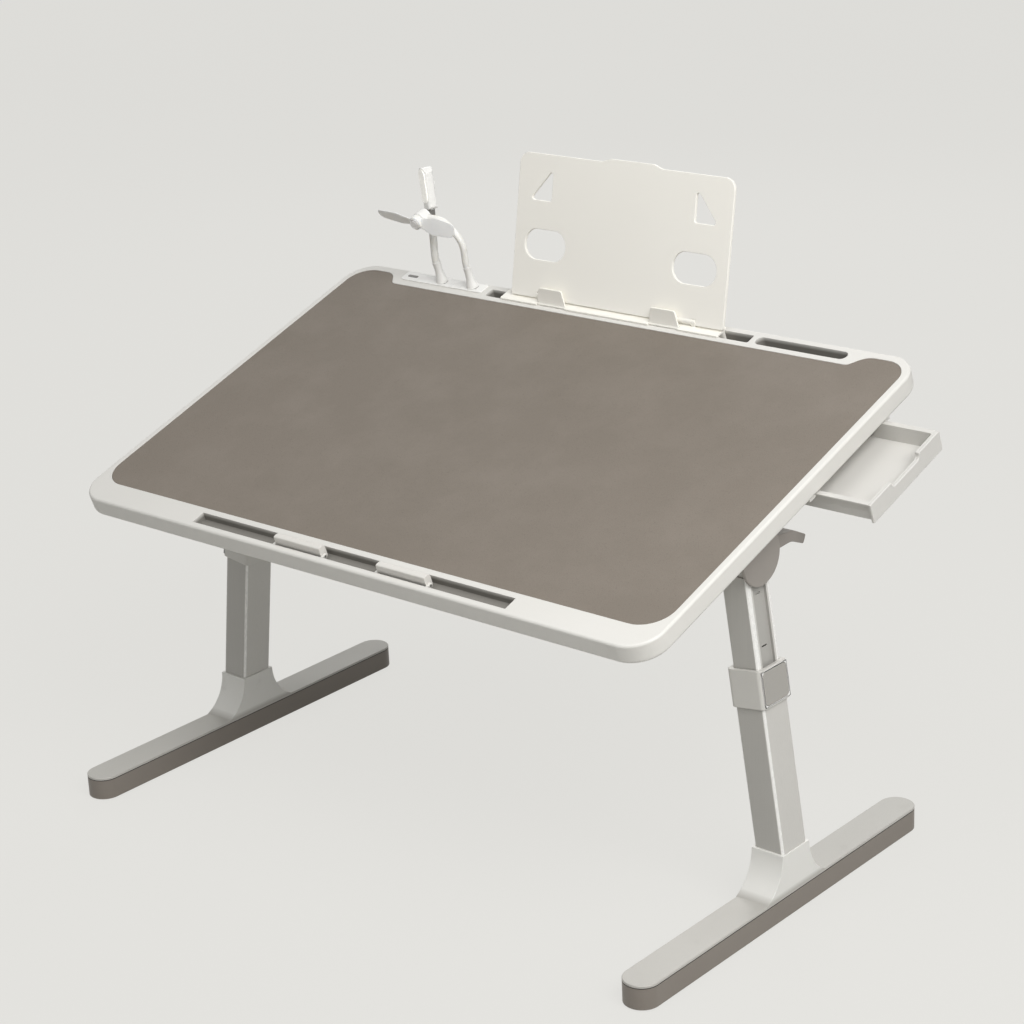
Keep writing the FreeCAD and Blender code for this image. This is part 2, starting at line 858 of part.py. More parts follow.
def fan_rotor():
    """Hub with two opposite paddles, turning on the motor's shaft."""
    u, v, w = fan_centre
    rear = -motor_length / 2 - rotor_gap
    hub = rod((0, rear, 0), (0, rear - rotor_hub_length, 0), rotor_hub_radius)
    hub = rounded(hub, casing_round, lambda middle: middle.y < rear - 1)
    blade = fan_blade().translated(Vector(0, rear - rotor_hub_length / 2, 0))
    other = blade.rotated(Vector(), Vector(0, 1, 0), 180)
    bore = rod((0, rear + 1, 0), (0, rear - rotor_shaft_length - seat_gap, 0),
               rotor_shaft_radius + running_gap)
    rotor = fused(hub, blade, other).cut(bore)
    return rotor.rotated(Vector(), Vector(0, 1, 0), -blade_turn).translated(Vector(u, v, w))


def at_socket(shape, u):
    """Plug frame to board frame."""
    return shape.translated(Vector(u, hub_middle, 0))


# ---------------------------------------------------------------- book stand
def stand_axis():
    """v and w of the book board's hinge axis."""
    return trough_front + stand_axis_in, stand_base_rise + stand_axis_up


def clip_axis():
    """v and w of the page clips' hinge axis."""
    return trough_front + clip_axis_in, stand_base_rise - clip_barrel_radius


def clip_middles():
    return stand_base_centre - clip_spacing / 2, stand_base_centre + clip_spacing / 2


def stand_hinge_middles():
    return stand_board_centre - stand_hinge_spacing / 2, stand_board_centre + stand_hinge_spacing / 2


def stand_base():
    """Bar that drops into the trough, with a ledge for the book and ears for the hinges."""
    half = stand_base_length / 2
    across = (stand_base_centre - half, stand_base_centre + half)
    in_trough = (trough_front + sliding_gap, trough_rear - sliding_gap)
    foot = rectangle(across, in_trough, stand_base_radius)
    bar = prism(foot, -trough_depth + sliding_gap, stand_base_rise)
    ledge_v = (trough_front - stand_base_lip, trough_rear + stand_base_overlap)
    ledge = prism(rectangle(across, ledge_v, stand_base_radius), sliding_gap, stand_base_rise)
    base = fused(bar, ledge)
    axis_v, axis_w = stand_axis()
    ears = []
    for middle in stand_hinge_middles():
        for side in (-1, 1):
            near = middle + side * (stand_barrel_length / 2 + sliding_gap)
            far = near + side * stand_lug_length
            ear_u = (min(near, far), max(near, far))
            ears.append(box(ear_u, (axis_v - stand_barrel_radius, axis_v + stand_barrel_radius),
                            (stand_base_rise / 2, axis_w)))
            ears.append(rod((ear_u[0], axis_v, axis_w), (ear_u[1], axis_v, axis_w), stand_barrel_radius))
    base = fused(base, *ears)
    bores = []
    for middle in stand_hinge_middles():
        bores.append(rod((middle - stand_barrel_length, axis_v, axis_w),
                         (middle + stand_barrel_length, axis_v, axis_w), stand_pin_radius + running_gap))
    return cut_by(base, bores + clip_pockets())


def clip_pockets():
    """Notches in the base's front edge where the page clips turn, with their pin bores."""
    axis_v, axis_w = clip_axis()
    room = clip_barrel_radius + 2 * sliding_gap
    open_front = trough_front - 2 * stand_base_lip
    pockets = []
    for middle in clip_middles():
        half = clip_base / 2 + sliding_gap
        pockets.append(box((middle - half, middle + half), (open_front, axis_v + room),
                           (axis_w - room, 2 * stand_base_rise)))
        reach = half + clip_pin_reach + seat_gap
        pockets.append(rod((middle - reach, axis_v, axis_w), (middle + reach, axis_v, axis_w),
                           clip_pin_radius + running_gap))
    return pockets


def stand_pins():
    """Two pins for the book board and two for the page clips."""
    axis_v, axis_w = stand_axis()
    reach = stand_barrel_length / 2 + sliding_gap + stand_lug_length
    pins = [rod((middle - reach, axis_v, axis_w), (middle + reach, axis_v, axis_w), stand_pin_radius)
            for middle in stand_hinge_middles()]
    axis_v, axis_w = clip_axis()
    reach = clip_base / 2 + sliding_gap + clip_pin_reach
    pins += [rod((middle - reach, axis_v, axis_w), (middle + reach, axis_v, axis_w), clip_pin_radius)
             for middle in clip_middles()]
    return Part.makeCompound(pins)


def stand_board_outline():
    """Corners of the book board in X and Z, with a low crest on its top edge."""
    half = stand_board_width / 2
    low = -stand_board_drop
    top = stand_board_height
    crest_left = crest_offset - crest_length / 2
    crest_right = crest_offset + crest_length / 2
    return [
        (-half, low, stand_foot_radius),
        (half, low, stand_foot_radius),
        (half, top, stand_corner_radius),
        (crest_right + crest_run, top, crest_run),
        (crest_right, top + crest_rise, crest_run),
        (crest_left, top + crest_rise, crest_run),
        (crest_left - crest_run, top, crest_run),
        (-half, top, stand_corner_radius),
    ]


def stand_windows(low, high):
    """Openings through the book board: an oval and a corner triangle on each side."""
    tools = []
    for side in (-1, 1):
        middle = side * window_spacing / 2
        oval = rectangle((middle - window_half_length, middle + window_half_length),
                         (window_height - window_half_width, window_height + window_half_width),
                         window_half_width * near_full)
        tools.append(prism_y(oval, low, high))
        corner = side * (notch_spacing / 2 + notch_side / 2)
        inner = side * (notch_spacing / 2 - notch_side / 2)
        triangle = [(corner, notch_height, notch_radius),
                    (inner, notch_height + notch_rise, notch_radius),
                    (inner, notch_height, notch_radius)]
        tools.append(prism_y(triangle, low, high))
    return tools


def stand_board():
    """Book board: a plate on two hinge barrels, leaning back from the ledge."""
    half = stand_board_thickness / 2
    plate = prism_y(stand_board_outline(), -half, half)
    notch_half = stand_barrel_length / 2 + stand_lug_length + 2 * sliding_gap
    notch_top = stand_barrel_radius + sliding_gap
    notches = []
    barrels = []
    for middle in (-stand_hinge_spacing / 2, stand_hinge_spacing / 2):
        notches.append(box((middle - notch_half, middle + notch_half), (-2 * half, 2 * half),
                           (-2 * stand_board_drop, notch_top)))
        across = (middle - stand_barrel_length / 2, middle + stand_barrel_length / 2)
        barrels.append(rod((across[0], 0, 0), (across[1], 0, 0), stand_barrel_radius))
        barrels.append(box(across, (-half, half), (0, 2 * stand_barrel_radius)))
    plate = cut_by(plate, stand_windows(-half - 1, half + 1) + notches)
    board = fused(plate, *barrels)
    bores = [rod((middle - stand_barrel_length, 0, 0), (middle + stand_barrel_length, 0, 0),
                 stand_pin_radius + running_gap)
             for middle in (-stand_hinge_spacing / 2, stand_hinge_spacing / 2)]
    board = cut_by(board, bores).rotated(Vector(), Vector(1, 0, 0), -stand_lean)
    axis_v, axis_w = stand_axis()
    return board.translated(Vector(stand_board_centre, axis_v, axis_w))


def page_clip(middle):
    """Tapered tab on a hinge barrel, which holds the pages against the board."""
    axis_v, axis_w = clip_axis()
    foot = axis_w + clip_barrel_radius + sliding_gap
    top = foot + clip_height
    corners = [
        (middle - clip_base / 2, foot - clip_barrel_radius, 0),
        (middle + clip_base / 2, foot - clip_barrel_radius, 0),
        (middle + clip_base / 2, foot, clip_round),
        (middle + clip_top / 2, top, clip_round),
        (middle - clip_top / 2, top, clip_round),
        (middle - clip_base / 2, foot, clip_round),
    ]
    tab = prism_y(corners, axis_v - clip_thickness / 2, axis_v + clip_thickness / 2)
    tab = tab.rotated(Vector(0, axis_v, axis_w), Vector(1, 0, 0), -clip_lean)
    ends = ((middle - clip_base / 2, axis_v, axis_w), (middle + clip_base / 2, axis_v, axis_w))
    return fused(tab, rod(*ends, clip_barrel_radius)).cut(rod(*ends, clip_pin_radius + running_gap))


# ---------------------------------------------------------------- drawer
def drawer_tray():
    """Open tray with a hanging flange along both long sides."""
    along = (tray_start, tray_end)
    plan = rectangle(along, (drawer_front_v, drawer_rear_v), drawer_corner)
    outer = prism(plan, drawer_bottom, drawer_top)
    flange = box(along, (drawer_front_v - drawer_flange, drawer_rear_v + drawer_flange),
                 (drawer_top - drawer_flange_thickness, drawer_top))
    inside = prism(rectangle((tray_start + drawer_wall, tray_end - drawer_wall),
                             (drawer_front_v + drawer_wall, drawer_rear_v - drawer_wall), drawer_corner),
                   drawer_bottom + drawer_floor, drawer_top + 1)
    return cut_by(fused(outer, flange), [inside, finger_pull()])


def finger_pull():
    """Scoop through the top edge of the drawer's outer end."""
    middle = (drawer_front_v + drawer_rear_v) / 2
    half = pull_width / 2
    corners = [
        (middle - half, drawer_top - pull_depth, pull_radius),
        (middle + half, drawer_top - pull_depth, pull_radius),
        (middle + half, drawer_top + pull_depth, 0),
        (middle - half, drawer_top + pull_depth, 0),
    ]
    return prism_x(corners, tray_end - drawer_wall - 1, drawer_end + 1)


def drawer_front():
    """End panel, pulled by a scoop in its top edge."""
    across = (drawer_front_v - drawer_flange, drawer_rear_v + drawer_flange)
    upright = (drawer_bottom - front_overhang, drawer_top)
    panel = prism_x(rectangle(across, upright, drawer_corner / 2), tray_end, drawer_end)
    return panel.cut(finger_pull())


def drawer_runner(near, outward):
    """Rail under the desk top that carries one flange: near is the tray's side, outward +1 or -1 in v."""
    flange_edge = near + outward * (drawer_flange + sliding_gap)
    lip_edge = near + outward * runner_lip_gap
    back = flange_edge + outward * runner_web
    lip_top = drawer_top - drawer_flange_thickness - sliding_gap
    along = (tray_start - drawer_out - sliding_gap, side_edge - runner_setback)
    web = box(along, tuple(sorted((flange_edge, back))), (lip_top - runner_lip, underside))
    lip = box(along, tuple(sorted((lip_edge, back))), (lip_top - runner_lip, lip_top))
    return cut_by(fused(web, lip), [rod((u, v, underside - drawer_height), (u, v, underside + 1),
                                        screw_radius + running_gap) for u, v in runner_screw_places()])


def runner_screw_places():
    """Screws up through both runners."""
    start = tray_start - drawer_out + cover_screw_inset
    stop = side_edge - runner_setback - cover_screw_inset
    places = []
    for near, outward in ((drawer_front_v, -1), (drawer_rear_v, 1)):
        v = near + outward * (drawer_flange + sliding_gap + runner_web / 2)
        for i in range(runner_screw_count):
            places.append((start + (stop - start) * i / (runner_screw_count - 1), v))
    return places


def runner_screws():
    low = drawer_top - drawer_flange_thickness - sliding_gap - runner_lip
    return Part.makeCompound([pan_screw(place, low) for place in runner_screw_places()])


def pan_screw(place, seat):
    """Screw whose head bears upwards on a seat, with its shank up into the core board."""
    u, v = place
    head = rod((u, v, seat - screw_head_height), (u, v, seat), screw_head_radius)
    return fused(head, rod((u, v, seat), (u, v, underside + screw_length), screw_radius))


# ---------------------------------------------------------------- hinge
def right_hinge_screw_places():
    """Four screws of the right hinge plate, clear of the yoke in front and behind."""
    us = (fold_x, cheek_in)
    return [(u, tilt_axis_v + side * hinge_screw_half) for u in us for side in (-1, 1)]


def hinge_screw_places():
    right = right_hinge_screw_places()
    return right + [(-u, v) for u, v in right]


def hinge_plate_screws():
    seat = underside - hinge_plate_thickness
    return Part.makeCompound([pan_screw(place, seat) for place in hinge_screw_places()])


def hinge_plate():
    """Plate under the desk top with two ears that hold the fold pin."""
    across = (fold_x - hinge_plate_inner, cheek_out + hinge_plate_outer)
    along = (tilt_axis_v - hinge_plate_half, tilt_axis_v + hinge_plate_half)
    plate = prism(rectangle(across, along, hinge_plate_round), underside - hinge_plate_thickness, underside)
    ears = []
    for side in (-1, 1):
        near = tilt_axis_v + side * (fold_barrel_half + sliding_gap)
        far = near + side * fold_ear
        ends = (min(near, far), max(near, far))
        ears.append(box((fold_x - fold_barrel_radius, fold_x + fold_barrel_radius), ends,
                        (fold_w, underside - hinge_plate_thickness / 2)))
        ears.append(rod((fold_x, ends[0], fold_w), (fold_x, ends[1], fold_w), fold_barrel_radius))
    bore = rod((fold_x, along[0], fold_w), (fold_x, along[1], fold_w), fold_pin_radius + running_gap)
    holes = [rod((u, v, underside - top_thickness), (u, v, underside + 1), screw_radius + running_gap)
             for u, v in right_hinge_screw_places()]
    return cut_by(fused(plate, *ears), [bore] + holes)


def fold_pin():
    """Pin through ears and yoke, with a head in front."""
    front = tilt_axis_v - fold_barrel_half - sliding_gap - fold_ear
    rear = tilt_axis_v + fold_barrel_half + sliding_gap + fold_ear
    shank = rod((fold_x, front, fold_w), (fold_x, rear, fold_w), fold_pin_radius)
    head = rod((fold_x, front - fold_pin_head_length, fold_w), (fold_x, front, fold_w), fold_pin_head)
    return fused(head, shank)


def cheek_outline(radius):
    """Half-moon in Y-Z about the tilt axis, squared off under the desk top."""
    low = tilt_axis_w - radius
    round_low = radius * near_full
    return [
        (tilt_axis_v - radius, low, round_low),
        (tilt_axis_v + radius, low, round_low),
        (tilt_axis_v + radius, yoke_top, cheek_corner),
        (tilt_axis_v - radius, yoke_top, cheek_corner),
    ]


def lever_pivot():
    return tilt_axis_v + lever_pivot_back, tilt_axis_w + lever_pivot_up


def yoke():
    """Folding bracket: two cheeks that hold the leg head, a bridge, and a barrel for the fold pin."""
    outer = prism_x(cheek_outline(cheek_radius), cheek_in, cheek_out)
    inner = prism_x(cheek_outline(inner_cheek_radius), inner_cheek_in, inner_cheek_out)
    bridge_v = (tilt_axis_v - inner_cheek_radius, tilt_axis_v + inner_cheek_radius)
    bridge = box((inner_cheek_in, cheek_out - 1), bridge_v, (yoke_top - bridge_thickness, yoke_top))
    ends = (tilt_axis_v - fold_barrel_half, tilt_axis_v + fold_barrel_half)
    barrel = rod((fold_x, ends[0], fold_w), (fold_x, ends[1], fold_w), fold_barrel_radius)
    web = box((fold_x, inner_cheek_in + 1), ends, (fold_w - fold_barrel_radius, fold_w + fold_barrel_radius))
    body = fused(outer, inner, bridge, barrel, web)
    pin_bore = rod((fold_x, ends[0] - 1, fold_w), (fold_x, ends[1] + 1, fold_w),
                   fold_pin_radius + running_gap)
    bolt_bore = rod((inner_cheek_in - 1, tilt_axis_v, tilt_axis_w),
                    (cheek_out - bolt_blind, tilt_axis_v, tilt_axis_w), bolt_radius + running_gap)
    pivot_v, pivot_w = lever_pivot()
    lever_bore = rod((inner_cheek_in - 1, pivot_v, pivot_w), (cheek_out - bolt_blind, pivot_v, pivot_w),
                     lever_pin_radius + running_gap)
    return cut_by(body, [pin_bore, bolt_bore, lever_bore])


def yoke_pins():
    """The tilt bolt and the lever's pin."""
    pivot_v, pivot_w = lever_pivot()
    end = cheek_out - bolt_blind - seat_gap
    head = rod((inner_cheek_in - bolt_head_length, tilt_axis_v, tilt_axis_w),
               (inner_cheek_in, tilt_axis_v, tilt_axis_w), bolt_head_radius)
    bolt = rod((inner_cheek_in, tilt_axis_v, tilt_axis_w), (end, tilt_axis_v, tilt_axis_w), bolt_radius)
    pin = rod((inner_cheek_in, pivot_v, pivot_w), (end, pivot_v, pivot_w), lever_pin_radius)
    return Part.makeCompound([fused(head, bolt), pin])


def tilt_lever():
    """Hooked release lever behind the leg, on its pin between the cheeks."""
    v, w = lever_pivot()
    corners = [(v + back, w + up, radius) for back, up, radius in lever_shape]
    across = (cheek_in - sliding_gap - lever_width, cheek_in - sliding_gap)
    hook = prism_x(corners, *across)
    boss = rod((across[0], v, w), (across[1], v, w), lever_boss_radius)
    bore = rod((across[0] - 1, v, w), (across[1] + 1, v, w), lever_pin_radius + running_gap)
    return fused(hook, boss).cut(bore)


# ---------------------------------------------------------------- leg
collar_top = collar_bottom + collar_height
outer_tube_top = collar_top - collar_lip
slide_top = (leg_top - tower_top) / cos(radians(leg_splay)) + slide_x * slope
slide_bottom = spigot_height + slide_travel + bush_flange + hang_gap


def section(x, y, radius):
    """Corners of a tube section centred on the leg's axis."""
    return rectangle((-x / 2, x / 2), (-y / 2, y / 2), radius)


def channel_corners(depth, extra):
    """Corners of the guide channel in the inner tube's outer face."""
    floor = slide_x / 2 - depth
    half = channel_width / 2 + extra
    return rectangle((floor, slide_x), (-half, half), 0)


def inner_tube():
    """Sliding tube with a guide channel in its outer face, cut level at the top."""
    tube = prism(section(slide_x, slide_y, slide_round), slide_bottom, slide_top)
    tube = tube.cut(prism(channel_corners(channel_depth, 0), slide_bottom - 1, slide_top + 1))
    bore = prism(section(slide_x - 2 * slide_wall, slide_y - 2 * slide_wall, slide_round / 2),
                 slide_bottom - 1, slide_top + 1)
    lining = channel_corners(channel_depth + slide_wall, slide_wall)
    bore = bore.cut(prism(lining, slide_bottom - 1, slide_top + 1))
    tube = cut_by(tube.cut(bore), latch_slots())
    above = box((0, foot_spacing), (-top_depth, top_depth), (leg_top, leg_top + top_depth))
    return on_leg(tube).cut(above)


def latch_slots():
    """Slots in the channel floor at the height stops."""
    floor = slide_x / 2 - channel_depth
    middle = (leg_top - tower_top) / cos(radians(leg_splay))
    slots = []
    for i in range(2):
        s = middle - mark_first - i * mark_spacing
        slots.append(box((floor - slide_wall - 1, floor + 1), (-mark_length / 2, mark_length / 2),
                         (s - mark_height / 2, s + mark_height / 2)))
    return slots


def head_plug_section():
    """Corners of the leg head's plug in the inner tube."""
    low = -slide_x / 2 + slide_wall + seat_gap
    high = slide_x / 2 - channel_depth - slide_wall - seat_gap
    half = slide_y / 2 - slide_wall - seat_gap
    return rectangle((low, high), (-half, half), slide_round / 2)


def leg_head():
    """Moulded head: a plug in the inner tube and a boss between the yoke's cheeks."""
    across = (inner_cheek_out + cheek_gap, cheek_in - cheek_gap)
    boss = rod((across[0], leg_setback, axis_height), (across[1], leg_setback, axis_height), head_radius)
    neck = box(across, (leg_setback - head_neck_half, leg_setback + head_neck_half),
               (leg_top + seat_gap, axis_height))
    top = (leg_top - tower_top) / cos(radians(leg_splay))
    plug = on_leg(prism(head_plug_section(), top - head_plug_length, top + bridge_thickness))
    bore = rod((0, leg_setback, axis_height), (foot_spacing, leg_setback, axis_height),
               bolt_radius + running_gap)
    return fused(boss, neck, plug).cut(bore)


def slide_bush():
    """Plastic end piece of the inner tube that guides it in the outer tube."""
    plug = prism(head_plug_section(), slide_bottom, slide_bottom + bush_length)
    wide_x = tube_x - 2 * tube_wall - 2 * sliding_gap
    wide_y = tube_y - 2 * tube_wall - 2 * sliding_gap
    flange = prism(section(wide_x, wide_y, slide_round / 2), slide_bottom - bush_flange, slide_bottom)
    return on_leg(fused(flange, plug))


def outer_tube():
    """Fixed tube on the foot, with a window for the button's tongue."""
    low = -tube_x * slope
    tube = prism(section(tube_x, tube_y, tube_round), low, outer_tube_top)
    bore = prism(section(tube_x - 2 * tube_wall, tube_y - 2 * tube_wall, tube_round / 2),
                 low - 1, outer_tube_top + 1)
    middle = collar_bottom + collar_height / 2
    window = box((0, tube_x), (-tongue_y / 2 - tongue_gap, tongue_y / 2 + tongue_gap),
                 (middle - tongue_s / 2 - tongue_gap, middle + tongue_s / 2 + tongue_gap))
    below = box((0, foot_spacing), (-top_depth, top_depth), (0, tower_top))
    return on_leg(cut_by(tube, [bore, window])).cut(below)


def collar():
    """Clamp sleeve round the top of the outer tube, with a recess for the button."""
    sleeve = prism(section(collar_x, collar_y, tube_round + collar_round / 2), collar_bottom, collar_top)
    sleeve = rounded(sleeve, collar_edge_round, at_height(collar_top))
    sleeve = rounded(sleeve, collar_edge_round, at_height(collar_bottom))
    lower = prism(section(tube_x + 2 * seat_gap, tube_y + 2 * seat_gap, tube_round),
                  collar_bottom - 1, outer_tube_top + seat_gap)
    upper = prism(section(slide_x + 2 * sliding_gap, slide_y + 2 * sliding_gap, slide_round),
                  collar_bottom, collar_top + 1)
    middle = collar_bottom + collar_height / 2
    pocket = prism_x(rectangle((-button_y / 2 - sliding_gap, button_y / 2 + sliding_gap),
                               (middle - button_s / 2 - sliding_gap, middle + button_s / 2 + sliding_gap),
                               button_round + sliding_gap), 0, collar_x)
    outside = box((tube_x / 2, collar_x), (-collar_y, collar_y), (0, 2 * collar_top))
    return on_leg(cut_by(sleeve, [lower, upper, pocket.common(outside)]))


def collar_button():
    """Square push button with a tongue that reaches into the inner tube's channel."""
    middle = collar_bottom + collar_height / 2
    face = collar_x / 2 + button_proud
    back = face - button_thickness
    cap = prism_x(rectangle((-button_y / 2, button_y / 2), (middle - button_s / 2, middle + button_s / 2),
                            button_round), back, face)
    tongue = box((back - tongue_reach, back + button_thickness / 2), (-tongue_y / 2, tongue_y / 2),
                 (middle - tongue_s / 2, middle + tongue_s / 2))
    return on_leg(fused(cap, tongue))


# ---------------------------------------------------------------- foot
def foot_outline(shrink):
    """Corners of the foot in plan, with half-round ends."""
    half_x = foot_width / 2 - shrink
    half_y = foot_length / 2 - shrink
    return rectangle((foot_x - half_x, foot_x + half_x), (-half_y, half_y), half_x * near_full)


def tower_outline():
    """Corners of the tower in Y-Z before its flares are cut."""
    rise = tower_top - foot_height
    spread = tower_flare - sqrt(tower_flare ** 2 - rise ** 2)
    low = foot_height - foot_cap_thickness
    half = tower_y / 2 + spread
    return (leg_setback - half, leg_setback + half), (low, tower_top)


def foot_cap():
    """Light upper shell of the foot, with the flared tower and the spigot for the outer tube."""
    low = foot_height - foot_cap_thickness
    cap = prism(foot_outline(0), low, foot_height)
    cap = rounded(cap, foot_cap_thickness / 3, at_height(foot_height))
    along, upright = tower_outline()
    tower = box((foot_x - foot_width / 2, foot_x + foot_width / 2), along, upright)
    for side in (-1, 1):
        middle = leg_setback + side * (tower_y / 2 + tower_flare)
        tower = tower.cut(rod((0, middle, tower_top), (foot_spacing, middle, tower_top), tower_flare))
    tower = tower.cut(cap)
    spigot_x = tube_x - 2 * tube_wall - 2 * seat_gap
    spigot_y = tube_y - 2 * tube_wall - 2 * seat_gap
    spigot = on_leg(prism(section(spigot_x, spigot_y, tube_round / 2), -spigot_sink, spigot_height))
    return fused(cap, tower, spigot)


def foot_skirt():
    """Darker base of the foot, stepped in along its top edge to make the seam."""
    high = foot_height - foot_cap_thickness
    skirt = prism(foot_outline(0), foot_pad_height, high)
    collar_ring = prism(foot_outline(-1), high - seam_height, high + 1)
    step = collar_ring.cut(prism(foot_outline(seam_depth), high - seam_height, high + 1))
    recesses = [pad.cut(box((0, foot_spacing), (-foot_length, foot_length), (-1, foot_pad_height)))
                for pad in foot_pad_blocks(seat_gap)]
    return cut_by(skirt, [step] + recesses)


def foot_pad_blocks(gap):
    """Rubber pads under both ends of the foot, grown by a gap for their recesses."""
    half_x = foot_pad_width / 2 + gap
    blocks = []
    for side in (-1, 1):
        far = side * (foot_length / 2 - foot_pad_inset)
        near = far - side * foot_pad_length
        along = (min(near, far) - gap, max(near, far) + gap)
        blocks.append(prism(rectangle((foot_x - half_x, foot_x + half_x), along, half_x * near_full),
                            0, foot_pad_height + foot_pad_recess))
    return blocks


def foot_pads():
    return Part.makeCompound(foot_pad_blocks(0))


# ---------------------------------------------------------------- nodes
def board_nodes():
    """Everything on the desk top, in the board frame."""
    lamp_u, fan_u = socket_places()
    stop_left, stop_right = stop_middles()
    clip_left, clip_right = clip_middles()
    return {
        "top_frame": top_frame(),
        "core_board": core_board(),
        "desk_pad": desk_pad(),
        "bottom_cover": bottom_cover(),
        "cover_screws": cover_screws(),
        "laptop_stop_left": laptop_stop(stop_left),
        "laptop_stop_right": laptop_stop(stop_right),
        "stop_pins": stop_pins(),
        "hub_housing": hub_housing(),
        "hub_window": hub_window(),
        "hub_sockets": hub_sockets(),
        "lamp_plug": at_socket(plug_and_grip(lamp_neck(), lamp_neck_diameter / 2), lamp_u),
        "lamp_neck": at_socket(lamp_neck(), lamp_u),
        "lamp_head": at_socket(lamp_head(), lamp_u),
        "lamp_lens": at_socket(lamp_lens(), lamp_u),
        "fan_plug": at_socket(plug_and_grip(fan_neck(), fan_neck_diameter / 2), fan_u),
        "fan_neck": at_socket(fan_neck(), fan_u),
        "fan_motor": at_socket(fan_motor(), fan_u),
        "fan_rotor": at_socket(fan_rotor(), fan_u),
        "stand_base": stand_base(),
        "stand_pins": stand_pins(),
        "stand_board": stand_board(),
        "page_clip_left": page_clip(clip_left),
        "page_clip_right": page_clip(clip_right),
        "drawer_tray": drawer_tray(),
        "drawer_front": drawer_front(),
        "drawer_runner_front": drawer_runner(drawer_front_v, -1),
        "drawer_runner_rear": drawer_runner(drawer_rear_v, 1),
        "runner_screws": runner_screws(),
        "hinge_plate_screws": hinge_plate_screws(),
    }


def side_nodes():
    """One leg with its hinge, on the right, in the desk frame."""
    return {
        "hinge_plate": on_board(hinge_plate()),
        "fold_pin": on_board(fold_pin()),
        "yoke": on_board(yoke()),
        "yoke_pins": on_board(yoke_pins()),
        "tilt_lever": on_board(tilt_lever()),
        "leg_head": leg_head(),
        "inner_tube": inner_tube(),
        "slide_bush": slide_bush(),
        "outer_tube": outer_tube(),
        "collar": collar(),
        "collar_button": collar_button(),
        "foot_cap": foot_cap(),
        "foot_skirt": foot_skirt(),
        "foot_pads": foot_pads(),
    }


def all_nodes():
    nodes = {name: on_board(shape) for name, shape in board_nodes().items()}
    for name, shape in side_nodes().items():
        nodes["right_" + name] = shape
        nodes["left_" + name] = mirrored(shape)
    return nodes


os.makedirs("parts", exist_ok=True)
for node, solid in all_nodes().items():
    solid.exportStep("parts/" + node + ".step")
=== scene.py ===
import json
import math
from contextlib import contextmanager
from itertools import combinations

import bmesh
import bpy
from mathutils import Matrix, Vector


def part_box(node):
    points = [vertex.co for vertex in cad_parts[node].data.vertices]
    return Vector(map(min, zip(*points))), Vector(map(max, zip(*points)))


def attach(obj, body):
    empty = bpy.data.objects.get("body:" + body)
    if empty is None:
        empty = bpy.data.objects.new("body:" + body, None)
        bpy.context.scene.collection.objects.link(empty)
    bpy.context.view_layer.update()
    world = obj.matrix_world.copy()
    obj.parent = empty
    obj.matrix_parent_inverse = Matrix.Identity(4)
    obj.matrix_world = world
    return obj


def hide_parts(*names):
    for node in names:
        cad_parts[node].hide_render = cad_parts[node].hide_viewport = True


# Looks of a folding lap desk: pad, moulded shell, silver legs, drawer, book stand, lamp and fan.
# Lengths are metres in the desk's own frame: +X right, +Y away from the sitter, +Z up.
# Colours are written as the 0 to 255 values of a screen.

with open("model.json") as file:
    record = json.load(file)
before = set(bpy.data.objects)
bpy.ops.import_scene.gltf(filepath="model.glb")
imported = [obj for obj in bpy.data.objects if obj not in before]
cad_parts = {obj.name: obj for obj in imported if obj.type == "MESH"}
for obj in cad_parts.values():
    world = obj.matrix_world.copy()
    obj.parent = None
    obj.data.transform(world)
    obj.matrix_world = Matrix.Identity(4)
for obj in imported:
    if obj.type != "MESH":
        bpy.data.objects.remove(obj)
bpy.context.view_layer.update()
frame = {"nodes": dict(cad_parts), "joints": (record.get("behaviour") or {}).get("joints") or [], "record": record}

MM = 0.001
SIDES = ("right", "left")
UP = Vector((0.0, 0.0, 1.0))

# Board frame (u, v, w) of the tilted desk top: right, towards the rear edge, out of the top face.
TILT = math.radians(18.5)
AXIS_V = 187.0 * MM          # the tilt axis in the board frame
AXIS_W = -54.5 * MM
AXIS_PLACE = Vector((0.0, 7.5 * MM, 382.0 * MM))
BOARD_V = Vector((0.0, math.cos(TILT), math.sin(TILT)))
BOARD_W = Vector((0.0, -math.sin(TILT), math.cos(TILT)))

# Sunken wells of the desk top: low and high u, low and high v.
GROOVE = (-216.0 * MM, 226.0 * MM, -24.5 * MM, -7.5 * MM)
TROUGH = (-182.0 * MM, 193.0 * MM, 449.0 * MM, 463.0 * MM)
PHONE_SLOT = (200.0 * MM, 316.0 * MM, 449.0 * MM, 463.0 * MM)
WELL_EDGE = 0.3 * MM

# The right leg's foot end in the desk frame; the left leg mirrors it.
LEG_LEAN = math.radians(8.0)
LEG_FOOT = Vector((392.5 * MM, 7.5 * MM, 73.0 * MM))
FOOT_TOP = Vector((0.0, 0.0, 28.0 * MM))
FOOT_SEAM_SHADE = (24.55 * MM, 25.6 * MM)      # low and high edge of the gap between the foot's cap and skirt, where painted shade goes
TOWER_HIGHLIGHT_FADE = 150.0           # painted highlight up the tower grows over a 150th of a metre
TUBE_SKIN = 0.15 * MM        # depth within which a tube's surface counts as its end face
MILKY_REACH = 4.0 * MM       # how far light spreads inside soft plastic
MILKY_TINT = (1.0, 0.97, 0.9)
WELL_FADE = 100.0            # painted shade of a well deepens over a hundredth of a metre


def on_board(u, v, w):
    """Desk-frame place of a board-frame point."""
    return AXIS_PLACE + Vector((u, 0.0, 0.0)) + (v - AXIS_V) * BOARD_V + (w - AXIS_W) * BOARD_W


BOARD = Matrix.Translation(on_board(0.0, 0.0, 0.0)) @ Matrix.Rotation(TILT, 4, "X")


def joint_place(name):
    """Where a joint of the frame sits."""
    return Vector(next(joint["pos_m"] for joint in frame["joints"] if joint["name"] == name))


